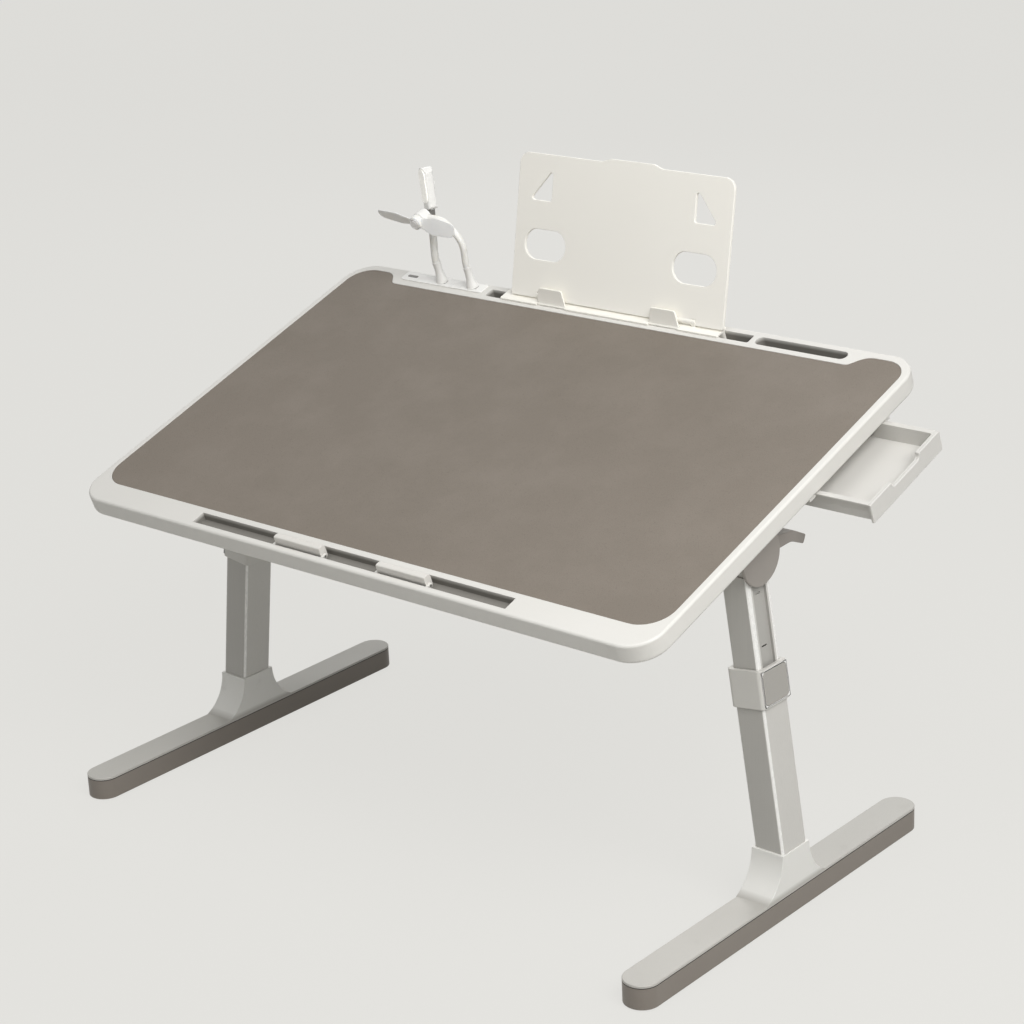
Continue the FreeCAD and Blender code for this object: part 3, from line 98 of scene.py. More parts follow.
# ---------------------------------------------------------------- shader building
class Sock:
    """A shader socket that Python arithmetic turns into Math nodes."""

    def __init__(self, look, socket):
        self.look = look
        self.socket = socket

    def _math(self, operation, a, b):
        return self.look.node("Math", {"operation": operation}, {0: a, 1: b})

    def __add__(self, other):
        return self._math("ADD", self, other)

    def __radd__(self, other):
        return self._math("ADD", other, self)

    def __sub__(self, other):
        return self._math("SUBTRACT", self, other)

    def __rsub__(self, other):
        return self._math("SUBTRACT", other, self)

    def __mul__(self, other):
        return self._math("MULTIPLY", self, other)

    def __rmul__(self, other):
        return self._math("MULTIPLY", other, self)

    def __abs__(self):
        return self.look.node("Math", {"operation": "ABSOLUTE"}, {0: self})


class Look:
    """One material: its node tree, built from nodes and Sock arithmetic."""

    def __init__(self, name):
        self.material = bpy.data.materials.new(name)
        self.material.use_nodes = True
        self.tree = self.material.node_tree
        self.shader = self.tree.nodes["Principled BSDF"]
        self.place = self.node("TexCoord", {}, {}, "Object")

    def node(self, kind, settings, inputs, output=0):
        """Add a shader node: settings first, then its sockets' values or links."""
        made = self.tree.nodes.new("ShaderNode" + kind)
        for key, value in settings.items():
            if key == "stops":
                self._ramp(made.color_ramp, value)
            else:
                setattr(made, key, value)
        for key, value in inputs.items():
            if isinstance(value, Sock):
                self.tree.links.new(value.socket, made.inputs[key])
            else:
                made.inputs[key].default_value = value
        return Sock(self, made.outputs[output])

    @staticmethod
    def _ramp(ramp, stops):
        while len(ramp.elements) < len(stops):
            ramp.elements.new(1.0)
        for element, (position, value) in zip(ramp.elements, stops):
            element.position = position
            element.color = (value, value, value, 1.0)

    def feed(self, **inputs):
        """Set or link the shader's own sockets, written with underscores for spaces."""
        for key, value in inputs.items():
            socket = self.shader.inputs[key.replace("_", " ")]
            if isinstance(value, Sock):
                self.tree.links.new(value.socket, socket)
            else:
                socket.default_value = value

    def let_light_in(self, share):
        """Soft plastic through which a share of the light spreads."""
        self.feed(Subsurface_Weight=share, Subsurface_Radius=MILKY_TINT, Subsurface_Scale=MILKY_REACH)

    def stretched(self, along):
        """Object coordinates scaled per axis."""
        return self.node("Mapping", {}, {"Vector": self.place, "Scale": along})

    def noise(self, scale, detail=2.0, rough=0.5, place=None):
        """Noise from 0 to 1 with so many cells a metre."""
        inputs = {"Vector": place or self.place, "Scale": scale, "Detail": detail, "Roughness": rough}
        return self.node("TexNoise", {}, inputs)

    def cells(self, scale, feature="F1", place=None):
        """Distance field of Voronoi cells, so many a metre."""
        return self.node("TexVoronoi", {"feature": feature}, {"Vector": place or self.place, "Scale": scale})

    def ramp(self, value, *stops):
        """Grey between stops of (position, grey), read at a value."""
        return self.node("ValToRGB", {"stops": stops}, {"Fac": value})

    def mix(self, share, one, other):
        """Colour between two colours."""
        return self.node("Mix", {"data_type": "RGBA"}, {0: share, 6: one, 7: other}, 2)

    def within(self, value, low, high):
        """1 where a value lies between two others, else 0."""
        middle, half = (low + high) / 2, (high - low) / 2
        return self.node("Math", {"operation": "COMPARE"}, {0: value, 1: middle, 2: half})

    def along(self, direction, start):
        """Distance of the surface along a direction from a starting point."""
        offset = start.dot(direction)
        return self.node("VectorMath", {"operation": "DOT_PRODUCT"},
                         {0: self.place, 1: tuple(direction)}, "Value") - offset

    def bump(self, height, distance, strength):
        """Shading normal that follows a height, of so many metres from 0 to 1."""
        return self.node("Bump", {}, {"Height": height, "Distance": distance, "Strength": strength})


class Sky(Look):
    """The world's node tree, built in the same way."""

    def __init__(self, world):
        world.use_nodes = True
        self.tree = world.node_tree


def colour(red, green, blue):
    """Shader colour from the 0 to 255 values of a screen."""
    def straight(value):
        share = value / 255
        return share / 12.92 if share <= 0.04045 else ((share + 0.055) / 1.055) ** 2.4
    return straight(red), straight(green), straight(blue), 1.0


# ---------------------------------------------------------------- finishes
def moulded(name, tone, shade, rough, grain=1600.0, grain_height=0.02 * MM, gloss=0.5, milky=0.0):
    """Moulded plastic: spark-eroded grain, faint clouding, handled patches that shine a little more."""
    look = Look(name)
    cloud = look.noise(9.0, 3.0)
    rub = look.ramp(look.noise(28.0, 4.0, 0.6), (0.45, 0.0), (0.72, 1.0))
    fine = look.noise(grain, 2.0)
    look.feed(Base_Color=look.mix(cloud, colour(*tone), colour(*shade)))
    look.feed(Roughness=rough + 0.05 * fine - 0.06 * rub)
    look.feed(Specular_IOR_Level=gloss)
    look.feed(Normal=look.bump(fine, grain_height, 0.6))
    look.let_light_in(milky)
    return look.material


def shell_plastic():
    """The desk top's moulding: warm white outside, slightly rougher down in its wells, where grey painted shade
    deepens with depth.
    """
    look = Look("shell_plastic")
    origin = on_board(0.0, 0.0, 0.0)
    u = look.along(Vector((1.0, 0.0, 0.0)), origin)
    v = look.along(BOARD_V, origin)
    depth = look.ramp(look.along(-BOARD_W, origin) * WELL_FADE, (0.08, 0.0), (0.5, 1.0))
    wells = 0.0
    for low_u, high_u, low_v, high_v in (GROOVE, TROUGH, PHONE_SLOT):
        inside = look.within(u, low_u - WELL_EDGE, high_u + WELL_EDGE)
        wells = inside * look.within(v, low_v - WELL_EDGE, high_v + WELL_EDGE) + wells
    # painted shade: darker with depth inside the wells
    sunk = depth * wells
    cloud = look.noise(9.0, 3.0)
    fine = look.noise(1600.0, 2.0)
    rub = look.ramp(look.noise(28.0, 4.0, 0.6), (0.45, 0.0), (0.72, 1.0))
    outside = look.mix(cloud, colour(226, 224, 219), colour(221, 219, 213))
    # grey of the wells is painted shade
    inside = look.mix(cloud, colour(138, 135, 129), colour(128, 125, 119))
    look.feed(Base_Color=look.mix(sunk, outside, inside))
    look.feed(Roughness=0.42 + 0.05 * fine - 0.06 * rub + 0.12 * sunk)
    look.feed(Normal=look.bump(fine, 0.02 * MM, 0.6))
    return look.material


def leather_pad():
    """Synthetic leather: small pebbles with painted shade in the creases between, slightly lighter where it is
    rubbed.
    """
    look = Look("pad_leather")
    pebble = look.cells(620.0, "SMOOTH_F1")
    crease = look.cells(620.0, "DISTANCE_TO_EDGE")
    pore = look.noise(2600.0, 2.0)
    cloud = look.noise(3.2, 4.0, 0.55)
    rub = look.ramp(look.noise(14.0, 4.0, 0.6), (0.42, 0.0), (0.75, 1.0))
    tone = look.mix(cloud, colour(123, 115, 105), colour(134, 125, 115))
    worn = look.mix(rub * 0.25, tone, colour(146, 137, 127))
    # painted shade in the creases between the pebbles
    gap = look.ramp(crease, (0.0, 1.0), (0.09, 0.0))
    look.feed(Base_Color=look.mix(gap * 0.35, worn, colour(96, 87, 78)))
    look.feed(Roughness=0.62 - 0.1 * rub + 0.08 * pore)
    look.feed(Specular_IOR_Level=0.4)
    grain = look.bump(pebble + 0.25 * pore - 0.6 * gap, 0.09 * MM, 0.7)
    look.feed(Normal=grain)
    return look.material


def leg_tube(name, half_y, highlight_x, highlight_y, channel=0.0):
    """Anodised tube: long draw lines, painted shade on the front and back, a painted highlight along the side
    corners, which are also smoother, and painted shade in the channel.
    """
    look = Look(name)
    level = look.along(UP * math.sin(LEG_LEAN), LEG_FOOT)
    reach = abs(look.along(Vector((1.0, 0.0, 0.0)), Vector())) - LEG_FOOT.x
    across = reach * math.cos(LEG_LEAN) + level
    beside = abs(look.along(Vector((0.0, 1.0, 0.0)), LEG_FOOT))
    lines = look.noise(1.0, 3.0, 0.6, look.stretched((900.0, 900.0, 9.0)))
    blotch = look.noise(11.0, 3.0)
    # painted shade: front and back faces darker
    shaded_sides = look.within(beside, half_y - TUBE_SKIN, 1.0)
    # painted highlight: near-white band along the side corners
    highlight_across = look.within(across if channel else abs(across), highlight_x, 1.0)
    painted_highlight = highlight_across * look.within(beside, highlight_y, half_y - TUBE_SKIN)
    tone = look.mix(lines, colour(210, 208, 203), colour(200, 198, 193))
    tone = look.mix(shaded_sides, tone, look.mix(lines, colour(186, 184, 179), colour(176, 174, 169)))
    # painted shade in the recessed channel
    tone = look.mix(look.within(beside, -channel, channel), tone, colour(172, 170, 165))
    tone = look.mix(painted_highlight, tone, colour(246, 245, 242))
    look.feed(Base_Color=look.mix(blotch * 0.2, tone, colour(192, 190, 185)))
    look.feed(Metallic=0.15)
    look.feed(Roughness=0.32 + 0.1 * lines + 0.05 * blotch - 0.12 * painted_highlight)
    look.feed(Normal=look.bump(lines, 0.012 * MM, 0.5))
    return look.material


def foot_silver():
    """Silver paint of the foot's cover: a painted highlight up the tower, with a few worn patches."""
    look = Look("foot_silver")
    spark = look.ramp(look.cells(2400.0), (0.1, 1.0), (0.55, 0.0))
    peel = look.noise(420.0, 1.0)
    cloud = look.noise(7.0, 3.0)
    scuff = look.ramp(look.noise(34.0, 5.0, 0.7), (0.6, 0.0), (0.72, 1.0))
    # painted highlight: the tower lighter than the foot's top
    tower = look.ramp(look.along(UP, FOOT_TOP) * TOWER_HIGHLIGHT_FADE, (0.1, 0.0), (0.9, 1.0))
    low = look.mix(cloud, colour(190, 188, 182), colour(182, 179, 173))
    high = look.mix(cloud, colour(234, 233, 229), colour(229, 228, 223))
    tone = look.mix(tower, low, high)
    tone = look.mix(scuff * 0.15, tone, colour(176, 173, 166))
    look.feed(Base_Color=look.mix(spark * 0.12, tone, colour(240, 239, 236)))
    look.feed(Metallic=0.1)
    look.feed(Roughness=0.36 + 0.08 * cloud - 0.05 * spark + 0.08 * scuff)
    look.feed(Normal=look.bump(peel, 0.02 * MM, 0.5))
    return look.material


def foot_plastic():
    """Grey-brown plastic of the foot's skirt, a tone that is partly its own and partly painted shade, with painted
    shade down in the seam under the cap.
    """
    look = Look("foot_base_plastic")
    cloud = look.noise(9.0, 3.0)
    fine = look.noise(1600.0, 2.0)
    # painted shade in the seam between cap and skirt
    seam = look.within(look.along(UP, Vector()), *FOOT_SEAM_SHADE)
    # tone partly the skirt's own grey-brown, partly painted shade of its sides
    tone = look.mix(cloud, colour(136, 129, 121), colour(127, 119, 111))
    look.feed(Base_Color=look.mix(seam, tone, colour(74, 70, 65)))
    look.feed(Roughness=0.42 + 0.05 * fine)
    look.feed(Normal=look.bump(fine, 0.02 * MM, 0.6))
    return look.material


def silver_paint(name, tone, shade, rough):
    """Silver paint on plastic: fine flake, orange peel, a few dull rubbed patches."""
    look = Look(name)
    flake = look.cells(2400.0)
    peel = look.noise(420.0, 1.0)
    cloud = look.noise(7.0, 3.0)
    spark = look.ramp(flake, (0.1, 1.0), (0.55, 0.0))
    tinted = look.mix(cloud, colour(*tone), colour(*shade))
    look.feed(Base_Color=look.mix(spark * 0.16, tinted, colour(232, 230, 226)))
    look.feed(Metallic=0.1)
    look.feed(Roughness=rough + 0.08 * cloud - 0.05 * spark)
    look.feed(Normal=look.bump(peel, 0.02 * MM, 0.5))
    return look.material


def enamel(name, tone, shade, rough=0.42):
    """Satin enamel on sheet metal."""
    look = Look(name)
    peel = look.noise(520.0, 1.5)
    cloud = look.noise(16.0, 4.0)
    chip = look.ramp(look.noise(60.0, 5.0, 0.7), (0.66, 0.0), (0.74, 1.0))
    look.feed(Base_Color=look.mix(chip * 0.12 + cloud * 0.4, colour(*tone), colour(*shade)))
    look.feed(Roughness=rough + 0.08 * cloud)
    look.feed(Metallic=0.3)
    look.feed(Normal=look.bump(peel, 0.018 * MM, 0.5))
    return look.material


def zinc(name):
    """Plated screw steel with fine turning marks."""
    look = Look(name)
    turned = look.noise(900.0, 3.0, 0.7)
    tint = look.noise(160.0, 2.0)
    look.feed(Base_Color=look.mix(tint, colour(186, 186, 184), colour(158, 156, 150)))
    look.feed(Metallic=1.0)
    look.feed(Roughness=0.28 + 0.18 * turned)
    look.feed(Normal=look.bump(turned, 0.01 * MM, 0.5))
    return look.material


def rubber(name, tone, shade, rough=0.75, milky=0.0):
    """Matt rubber or silicone with a dusty bloom."""
    look = Look(name)
    bloom = look.noise(70.0, 4.0, 0.6)
    skin = look.noise(1900.0, 2.0)
    look.feed(Base_Color=look.mix(bloom, colour(*tone), colour(*shade)))
    look.feed(Roughness=rough - 0.12 * bloom + 0.05 * skin)
    look.feed(Normal=look.bump(skin, 0.02 * MM, 0.7))
    look.let_light_in(milky)
    return look.material


def fibreboard(name):
    """Pressed wood fibre."""
    look = Look(name)
    fibre = look.noise(260.0, 5.0, 0.7, look.stretched((1.0, 0.35, 2.5)))
    look.feed(Base_Color=look.mix(fibre, colour(150, 120, 86), colour(184, 156, 118)))
    look.feed(Roughness=0.8 + 0.1 * fibre)
    look.feed(Normal=look.bump(fibre, 0.08 * MM, 0.6))
    return look.material


def diffuser(name):
    """Frosted lamp lens over a row of small emitters."""
    look = Look(name)
    dots = look.cells(150.0, place=look.stretched((1.0, 0.2, 1.0)))
    frost = look.noise(1400.0, 2.0)
    glow = look.ramp(dots, (0.15, 1.0), (0.6, 0.0))
    lit = look.mix(glow, colour(248, 246, 240), colour(255, 253, 246))
    look.feed(Base_Color=lit, Emission_Color=lit, Emission_Strength=0.22)
    look.feed(Roughness=0.32 + 0.15 * frost)
    look.feed(Normal=look.bump(frost, 0.02 * MM, 0.5))
    return look.material


FINISHES = {
    "shell": shell_plastic(),
    "panel": fibreboard("core_fibre"),
    "pad": leather_pad(),
    "underside": moulded("underside_laminate", (218, 216, 210), (209, 207, 200), 0.5, 700.0),
    "screw": zinc("screw_zinc"),
    "pin": zinc("pin_steel"),
    "stop": moulded("stop_plastic", (226, 223, 217), (219, 216, 210), 0.42),
    "white_part": moulded("white_plastic", (247, 246, 243), (243, 242, 238), 0.28, 2200.0, 0.008 * MM),
    "dark_window": moulded("window_plastic", (140, 138, 135), (128, 126, 123), 0.22, 2200.0, 0.005 * MM),
    "socket": zinc("socket_steel"),
    "neck": rubber("neck_silicone", (246, 245, 240), (239, 238, 233), 0.5, milky=0.5),
    "lens": diffuser("lamp_lens"),
    "blade": moulded("blade_plastic", (250, 249, 244), (246, 245, 240), 0.46, 1800.0, milky=0.8),
    "book_board": moulded("board_plastic", (252, 250, 242), (249, 246, 238), 0.4),
    "drawer": moulded("drawer_plastic", (215, 213, 208), (208, 206, 201), 0.44),
    "hinge": enamel("hinge_enamel", (158, 152, 146), (146, 140, 134)),
    "lever": moulded("lever_plastic", (148, 142, 136), (138, 132, 126), 0.46),
    "tube": leg_tube("outer_tube_aluminium", 21.0 * MM, 15.6 * MM, 18.6 * MM),
    "collar": silver_paint("collar_silver", (211, 209, 204), (204, 202, 196), 0.34),
    "foot_top": foot_silver(),
    "foot_base": foot_plastic(),
    "rubber": rubber("pad_rubber", (46, 46, 46), (60, 59, 57)),
}
INNER_TUBE = leg_tube("inner_tube_aluminium", 19.0 * MM, 12.6 * MM, 13.6 * MM, 11.2 * MM)
BUTTON = silver_paint("button_silver", (168, 165, 159), (160, 157, 151), 0.36)
TRIM = moulded("trim_plastic", (250, 249, 247), (244, 243, 241), 0.26, 2200.0, 0.006 * MM)
SLEEVE = rubber("sleeve_silicone", (124, 122, 119), (112, 110, 107), 0.55)

# Nodes whose finish is their own rather than their slot's.
OWN_FINISH = {"collar_button": BUTTON, "inner_tube": INNER_TUBE}

# Edge rounding of each node that is shown with softer edges, in millimetres.
EDGE_ROUNDS = {
    "top_frame": 0.4, "desk_pad": 0.5, "bottom_cover": 0.3,
    "laptop_stop_left": 0.6, "laptop_stop_right": 0.6,
    "hub_housing": 0.4, "hub_window": 0.15, "lamp_plug": 0.2, "lamp_head": 0.3, "lamp_lens": 0.3,
    "fan_plug": 0.2, "fan_rotor": 0.35,
    "stand_base": 0.3, "stand_board": 0.6, "page_clip_left": 0.6, "page_clip_right": 0.6,
    "drawer_tray": 0.35, "drawer_front": 0.7, "drawer_runner_front": 0.5, "drawer_runner_rear": 0.5,
    "hinge_plate": 0.5, "fold_pin": 0.4, "yoke": 0.6, "tilt_lever": 0.9,
    "leg_head": 0.5, "inner_tube": 0.3, "outer_tube": 0.3, "collar": 0.5, "collar_button": 0.5,
    "foot_cap": 0.5, "foot_skirt": 0.6, "foot_pads": 0.5,
}
# Heights that an edge of these has to lie between to be softened, so that the foot's seam stays crisp.
SOFT_HEIGHTS = {"foot_cap": (31.0 * MM, 1.0), "foot_skirt": (0.0, 20.0 * MM)}
MERGE = 0.002 * MM           # vertices closer than this are one
FLAT = math.radians(0.3)     # faces that turn by less are one
SLIVER = math.radians(25.0)
SMOOTH = math.radians(35.0)  # edges that turn by less are shaded smooth
ROUND_MARK = "bevel_weight_edge"

CROSS_LENGTH = 4.0 * MM      # cross recess of a screw head
CROSS_WIDTH = 0.9 * MM
CROSS_DEPTH = 0.9 * MM
BOLT_SOCKET_RADIUS = 3.4 * MM
BOLT_SOCKET_DEPTH = 2.3 * MM

COLLAR_FACE = 21.0 * MM      # collar's outer face from the leg's middle
BUTTON_HEIGHT = 175.0 * MM   # button's middle above the foot tower
BUTTON_SIZE = (41.0 * MM, 36.0 * MM)
BUTTON_ROUND = 5.0 * MM
TRIM_WIDTH = 0.9 * MM
TRIM_THICKNESS = 0.7 * MM

LAMP_TURN = math.radians(20.0)
LAMP_HALF_DEPTH = 6.25 * MM
SEAM_DOWN = 11.0 * MM        # seam ring below the lamp head's top
SEAM_LENGTH = 0.5 * MM
SEAM_PROUD = 0.12 * MM
SLEEVE_DOWN = 3.2 * MM       # sleeve's middle below the lamp head
SLEEVE_LENGTH = 6.0 * MM
SLEEVE_PROUD = 0.5 * MM
TOUCH_RADIUS = 3.4 * MM      # touch button behind the lamp
TOUCH_THICKNESS = 1.2 * MM
TOUCH_UP = 6.0 * MM          # above the lamp head's middle

CAP_RADIUS = 6.2 * MM        # stepped cap in front of the fan's rotor
CAP_THICKNESS = 1.4 * MM
ROTOR_HALF = 3.75 * MM       # from the rotor's middle to its face
MOTOR_BEHIND_HUB = 17.4 * MM
VENTS = 10
VENT_SIZE = (1.1 * MM, 0.5 * MM, 3.4 * MM)
VENT_RING = 4.7 * MM         # radius of the ring of vents


def dress_nodes():
    """Give every CAD node the finish of its slot."""
    for part in frame["record"]["subparts"]:
        mesh = frame["nodes"][part["node"]].data
        mesh.materials.clear()
        mesh.materials.append(FINISHES[part["material_slot"]])


# ---------------------------------------------------------------- modelling
def fresh(name, add, **shape):
    """Start a piece from a primitive, with nothing else selected."""
    bpy.ops.object.select_all(action="DESELECT")
    add(**shape)
    piece = bpy.context.object
    piece.name = name
    return piece


def merged_copy(name, node):
    """Start a piece from a CAD node's own shape, with its triangles joined into flat faces."""
    bpy.ops.object.select_all(action="DESELECT")
    piece = bpy.data.objects.new(name, frame["nodes"][node].data.copy())
    bpy.context.scene.collection.objects.link(piece)
    piece.select_set(True)
    with editing(piece):
        bpy.ops.mesh.select_all(action="SELECT")
        bpy.ops.mesh.remove_doubles(threshold=MERGE)
        bpy.ops.mesh.dissolve_limited(angle_limit=FLAT)
    return piece


@contextmanager
def editing(piece):
    """Edit mode on one piece, faces selectable."""
    bpy.context.view_layer.objects.active = piece
    bpy.ops.object.mode_set(mode="EDIT")
    bpy.ops.mesh.select_mode(type="FACE")
    yield
    bpy.ops.object.mode_set(mode="OBJECT")


def choose(piece, test):
    """Select only the faces whose middle and normal pass a test."""
    bpy.ops.mesh.select_all(action="DESELECT")
    mesh = bmesh.from_edit_mesh(piece.data)
    for face in mesh.faces:
        face.select_set(test(face.calc_center_median(), face.normal))
    bmesh.update_edit_mesh(piece.data)


def modify(piece, kind, **settings):
    """Add a modifier and apply it."""
    bpy.ops.object.select_all(action="DESELECT")
    piece.select_set(True)
    bpy.context.view_layer.objects.active = piece
    modifier = piece.modifiers.new(kind.lower(), kind)
    for key, value in settings.items():
        setattr(modifier, key, value)
    bpy.ops.object.modifier_apply(modifier=modifier.name)


def slivers(edges):
    """Edges that meet another of the list at so small an angle that rounding them would spike."""
    meeting = {}
    for edge in edges:
        for vertex in edge.verts:
            meeting.setdefault(vertex, []).append(edge)
    found = set()
    for vertex, fan in meeting.items():
        for one, other in combinations(fan, 2):
            ahead = one.other_vert(vertex).co - vertex.co
            beside = other.other_vert(vertex).co - vertex.co
            if ahead.angle(beside) < SLIVER:
                found |= {one, other}
    return found


def rounded(piece, width, segments=2, sharp=32.0, chosen=lambda edge: True):
    """Round the edges that turn by more than an angle in degrees and pass a test."""
    mesh = bmesh.new()
    mesh.from_mesh(piece.data)
    mark = mesh.edges.layers.float.get(ROUND_MARK) or mesh.edges.layers.float.new(ROUND_MARK)
    turning = [edge for edge in mesh.edges
               if edge.is_manifold and edge.calc_face_angle() > math.radians(sharp)]
    wanted = set(filter(chosen, turning)) - slivers(turning)
    for edge in mesh.edges:
        edge[mark] = float(edge in wanted)
    mesh.to_mesh(piece.data)
    mesh.free()
    modify(piece, "BEVEL", width=width, segments=segments, limit_method="WEIGHT", use_clamp_overlap=False)


def cut_away(piece, tool):
    """Take one piece's space out of another, and drop the tool."""
    modify(piece, "BOOLEAN", operation="DIFFERENCE", solver="EXACT", object=tool, use_self=True)
    bpy.data.objects.remove(tool)


def joined(name, pieces):
    """Several pieces as one."""
    bpy.ops.object.select_all(action="DESELECT")
    for piece in pieces:
        piece.select_set(True)
    bpy.context.view_layer.objects.active = pieces[0]
    bpy.ops.object.join()
    pieces[0].name = name
    return pieces[0]


def twin(piece, name):
    """A copy with its own mesh."""
    other = piece.copy()
    other.data = piece.data.copy()
    other.name = name
    bpy.context.scene.collection.objects.link(other)
    return other


def done(piece, body, slot, place=None, finish=None):
    """Settle a piece in the desk frame, smooth it, dress it and let it ride."""
    if place is not None:
        piece.matrix_world = place @ piece.matrix_world
    bpy.ops.object.select_all(action="DESELECT")
    piece.select_set(True)
    bpy.context.view_layer.objects.active = piece
    bpy.ops.object.transform_apply(location=True, rotation=True, scale=True)
    if place is not None:
        with editing(piece):
            bpy.ops.mesh.select_all(action="SELECT")
            bpy.ops.mesh.normals_make_consistent(inside=False)
    bpy.ops.object.shade_smooth_by_angle(angle=SMOOTH)
    modify(piece, "WEIGHTED_NORMAL", keep_sharp=True)
    piece.data.materials.clear()
    piece.data.materials.append(finish or FINISHES[slot])
    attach(piece, body)
    return piece


# ---------------------------------------------------------------- rounded shells
def softened():
    """Stand a copy with rounded edges in for each node whose edges catch the light."""
    slots = {part["node"]: part["material_slot"] for part in frame["record"]["subparts"]}
    for body, members in frame["record"]["behaviour"]["bodies"].items():
        for node in members:
            kind = node.removeprefix("right_").removeprefix("left_")
            width = EDGE_ROUNDS.get(kind)
            if width is None:
                continue
            piece = merged_copy(node + "_rounded", node)
            low, high = SOFT_HEIGHTS.get(kind, (-1.0, 1.0))
            rounded(piece, width * MM, chosen=lambda edge: all(low < end.co.z < high for end in edge.verts))
            done(piece, body, slots[node], finish=OWN_FINISH.get(node.removeprefix(body.split("_")[0] + "_")))
            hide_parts(node)


# ---------------------------------------------------------------- fixings
def islands(piece):
    """Lowest and highest corner of each loose solid in a piece, in the board frame, from left to right."""
    mesh = bmesh.new()
    mesh.from_mesh(piece.data)
    mesh.transform(BOARD.inverted())
    left = set(mesh.verts)
    found = []
    while left:
        front = [left.pop()]
        members = []
        while front:
            vertex = front.pop()
            members.append(vertex.co.copy())
            for edge in vertex.link_edges:
                other = edge.other_vert(vertex)
                if other in left:
                    left.remove(other)
                    front.append(other)
        low = Vector([min(point[i] for point in members) for i in range(3)])
        high = Vector([max(point[i] for point in members) for i in range(3)])
        found.append((low, high))
    mesh.free()
    return sorted(found, key=lambda corners: tuple(corners[0]))


def crossed_screws(node, body, slot):
    """Screws with a cross recess sunk in each head."""
    piece = merged_copy(node + "_crossed", node)
    blades = []
    for low, high in islands(piece):
        middle = (low + high) / 2
        for turn in (0.0, math.pi / 2):
            blade = fresh("blade", bpy.ops.mesh.primitive_cube_add, size=1.0,
                          location=(middle.x, middle.y, low.z), rotation=(0.0, 0.0, turn))
            blade.scale = (CROSS_LENGTH, CROSS_WIDTH, 2 * CROSS_DEPTH)
            blade.matrix_world = BOARD @ Matrix.LocRotScale(blade.location, blade.rotation_euler, blade.scale)
            blades.append(blade)
    cut_away(piece, joined("cross", blades))
    rounded(piece, 0.15 * MM, 1)
    done(piece, body, slot)
    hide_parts(node)


def socket_bolts(side):
    """Tilt bolt with a six-sided socket in its head, on the inner side of the yoke."""
    node = side + "_yoke_pins"
    piece = merged_copy(node + "_socket", node)
    low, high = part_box(node)
    inner = low.x if side == "right" else high.x
    axis = joint_place(side + "_top_tilt")
    socket = fresh("socket", bpy.ops.mesh.primitive_cylinder_add, vertices=6, radius=BOLT_SOCKET_RADIUS,
                   depth=2 * BOLT_SOCKET_DEPTH, location=(inner, axis.y, axis.z),
                   rotation=(0.0, math.pi / 2, 0.0))
    cut_away(piece, socket)
    rounded(piece, 0.3 * MM)
    done(piece, side + "_yoke", "pin")
    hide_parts(node)


def button_trim(side):
    """Thin raised frame round the collar's push button."""
    turn = Matrix.Rotation(-LEG_LEAN, 4, "Y")
    place = Matrix.Translation(LEG_FOOT) @ turn
    if side == "left":
        place = Matrix.Scale(-1.0, 4, (1.0, 0.0, 0.0)) @ place
    trim = fresh(side + "_button_trim", bpy.ops.mesh.primitive_cube_add, size=1.0,
                 location=(COLLAR_FACE, 0.0, BUTTON_HEIGHT))
    trim.scale = (TRIM_THICKNESS, BUTTON_SIZE[0] + 2 * TRIM_WIDTH, BUTTON_SIZE[1] + 2 * TRIM_WIDTH)
    bpy.ops.object.transform_apply(location=False, rotation=False, scale=True)
    with editing(trim):
        choose(trim, lambda middle, normal: abs(normal.x) > 0.9)
        bpy.ops.mesh.inset(thickness=TRIM_WIDTH)
        bpy.ops.mesh.bridge_edge_loops()
    rounded(trim, BUTTON_ROUND, 6, chosen=lambda edge: abs(edge.verts[0].co.x - edge.verts[1].co.x) > 0.0)
    rounded(trim, 0.12 * MM, 1, 60.0)
    done(trim, side + "_lower_leg", "collar", place, TRIM)


# ---------------------------------------------------------------- lamp and fan
def band(name, node, middle, axis, length, proud, slot, finish):
    """Raised ring that follows a node's section."""
    ring = merged_copy(name, node)
    with editing(ring):
        for side in (-1.0, 1.0):
            bpy.ops.mesh.select_all(action="SELECT")
            bpy.ops.mesh.bisect(plane_co=middle + side * axis * length / 2, plane_no=side * axis,
                                clear_outer=True, use_fill=True)
        bpy.ops.mesh.select_all(action="SELECT")
        bpy.ops.mesh.normals_make_consistent(inside=False)
        bpy.ops.transform.shrink_fatten(value=proud)
    done(ring, "tabletop", slot, finish=finish)


def lamp_details():
    """Seam ring near the wand's top, grey sleeve at its foot and a touch button behind."""
    low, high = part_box("lamp_head")
    middle = (low + high) / 2
    seam = Vector((middle.x, middle.y, high.z - SEAM_DOWN))
    band("lamp_seam", "lamp_head", seam, UP, SEAM_LENGTH, SEAM_PROUD, "white_part", TRIM)
    foot = Vector((middle.x, middle.y, low.z - SLEEVE_DOWN))
    band("lamp_sleeve", "lamp_neck", foot, UP, SLEEVE_LENGTH, SLEEVE_PROUD, "neck", SLEEVE)
    behind = Vector((math.sin(LAMP_TURN), math.cos(LAMP_TURN), 0.0))
    place = middle + behind * LAMP_HALF_DEPTH + UP * TOUCH_UP
    button = fresh("lamp_touch_button", bpy.ops.mesh.primitive_cylinder_add, vertices=40, radius=TOUCH_RADIUS,
                   depth=TOUCH_THICKNESS, location=(0.0, 0.0, 0.0))
    with editing(button):
        choose(button, lambda centre, normal: normal.z > 0.9)
        bpy.ops.mesh.inset(thickness=0.7 * MM)
        bpy.ops.mesh.inset(thickness=0.4 * MM, depth=-0.35 * MM)
    rounded(button, 0.15 * MM)
    facing = behind.to_track_quat("Z", "Y").to_matrix().to_4x4()
    done(button, "tabletop", "white_part", Matrix.Translation(place) @ facing, TRIM)


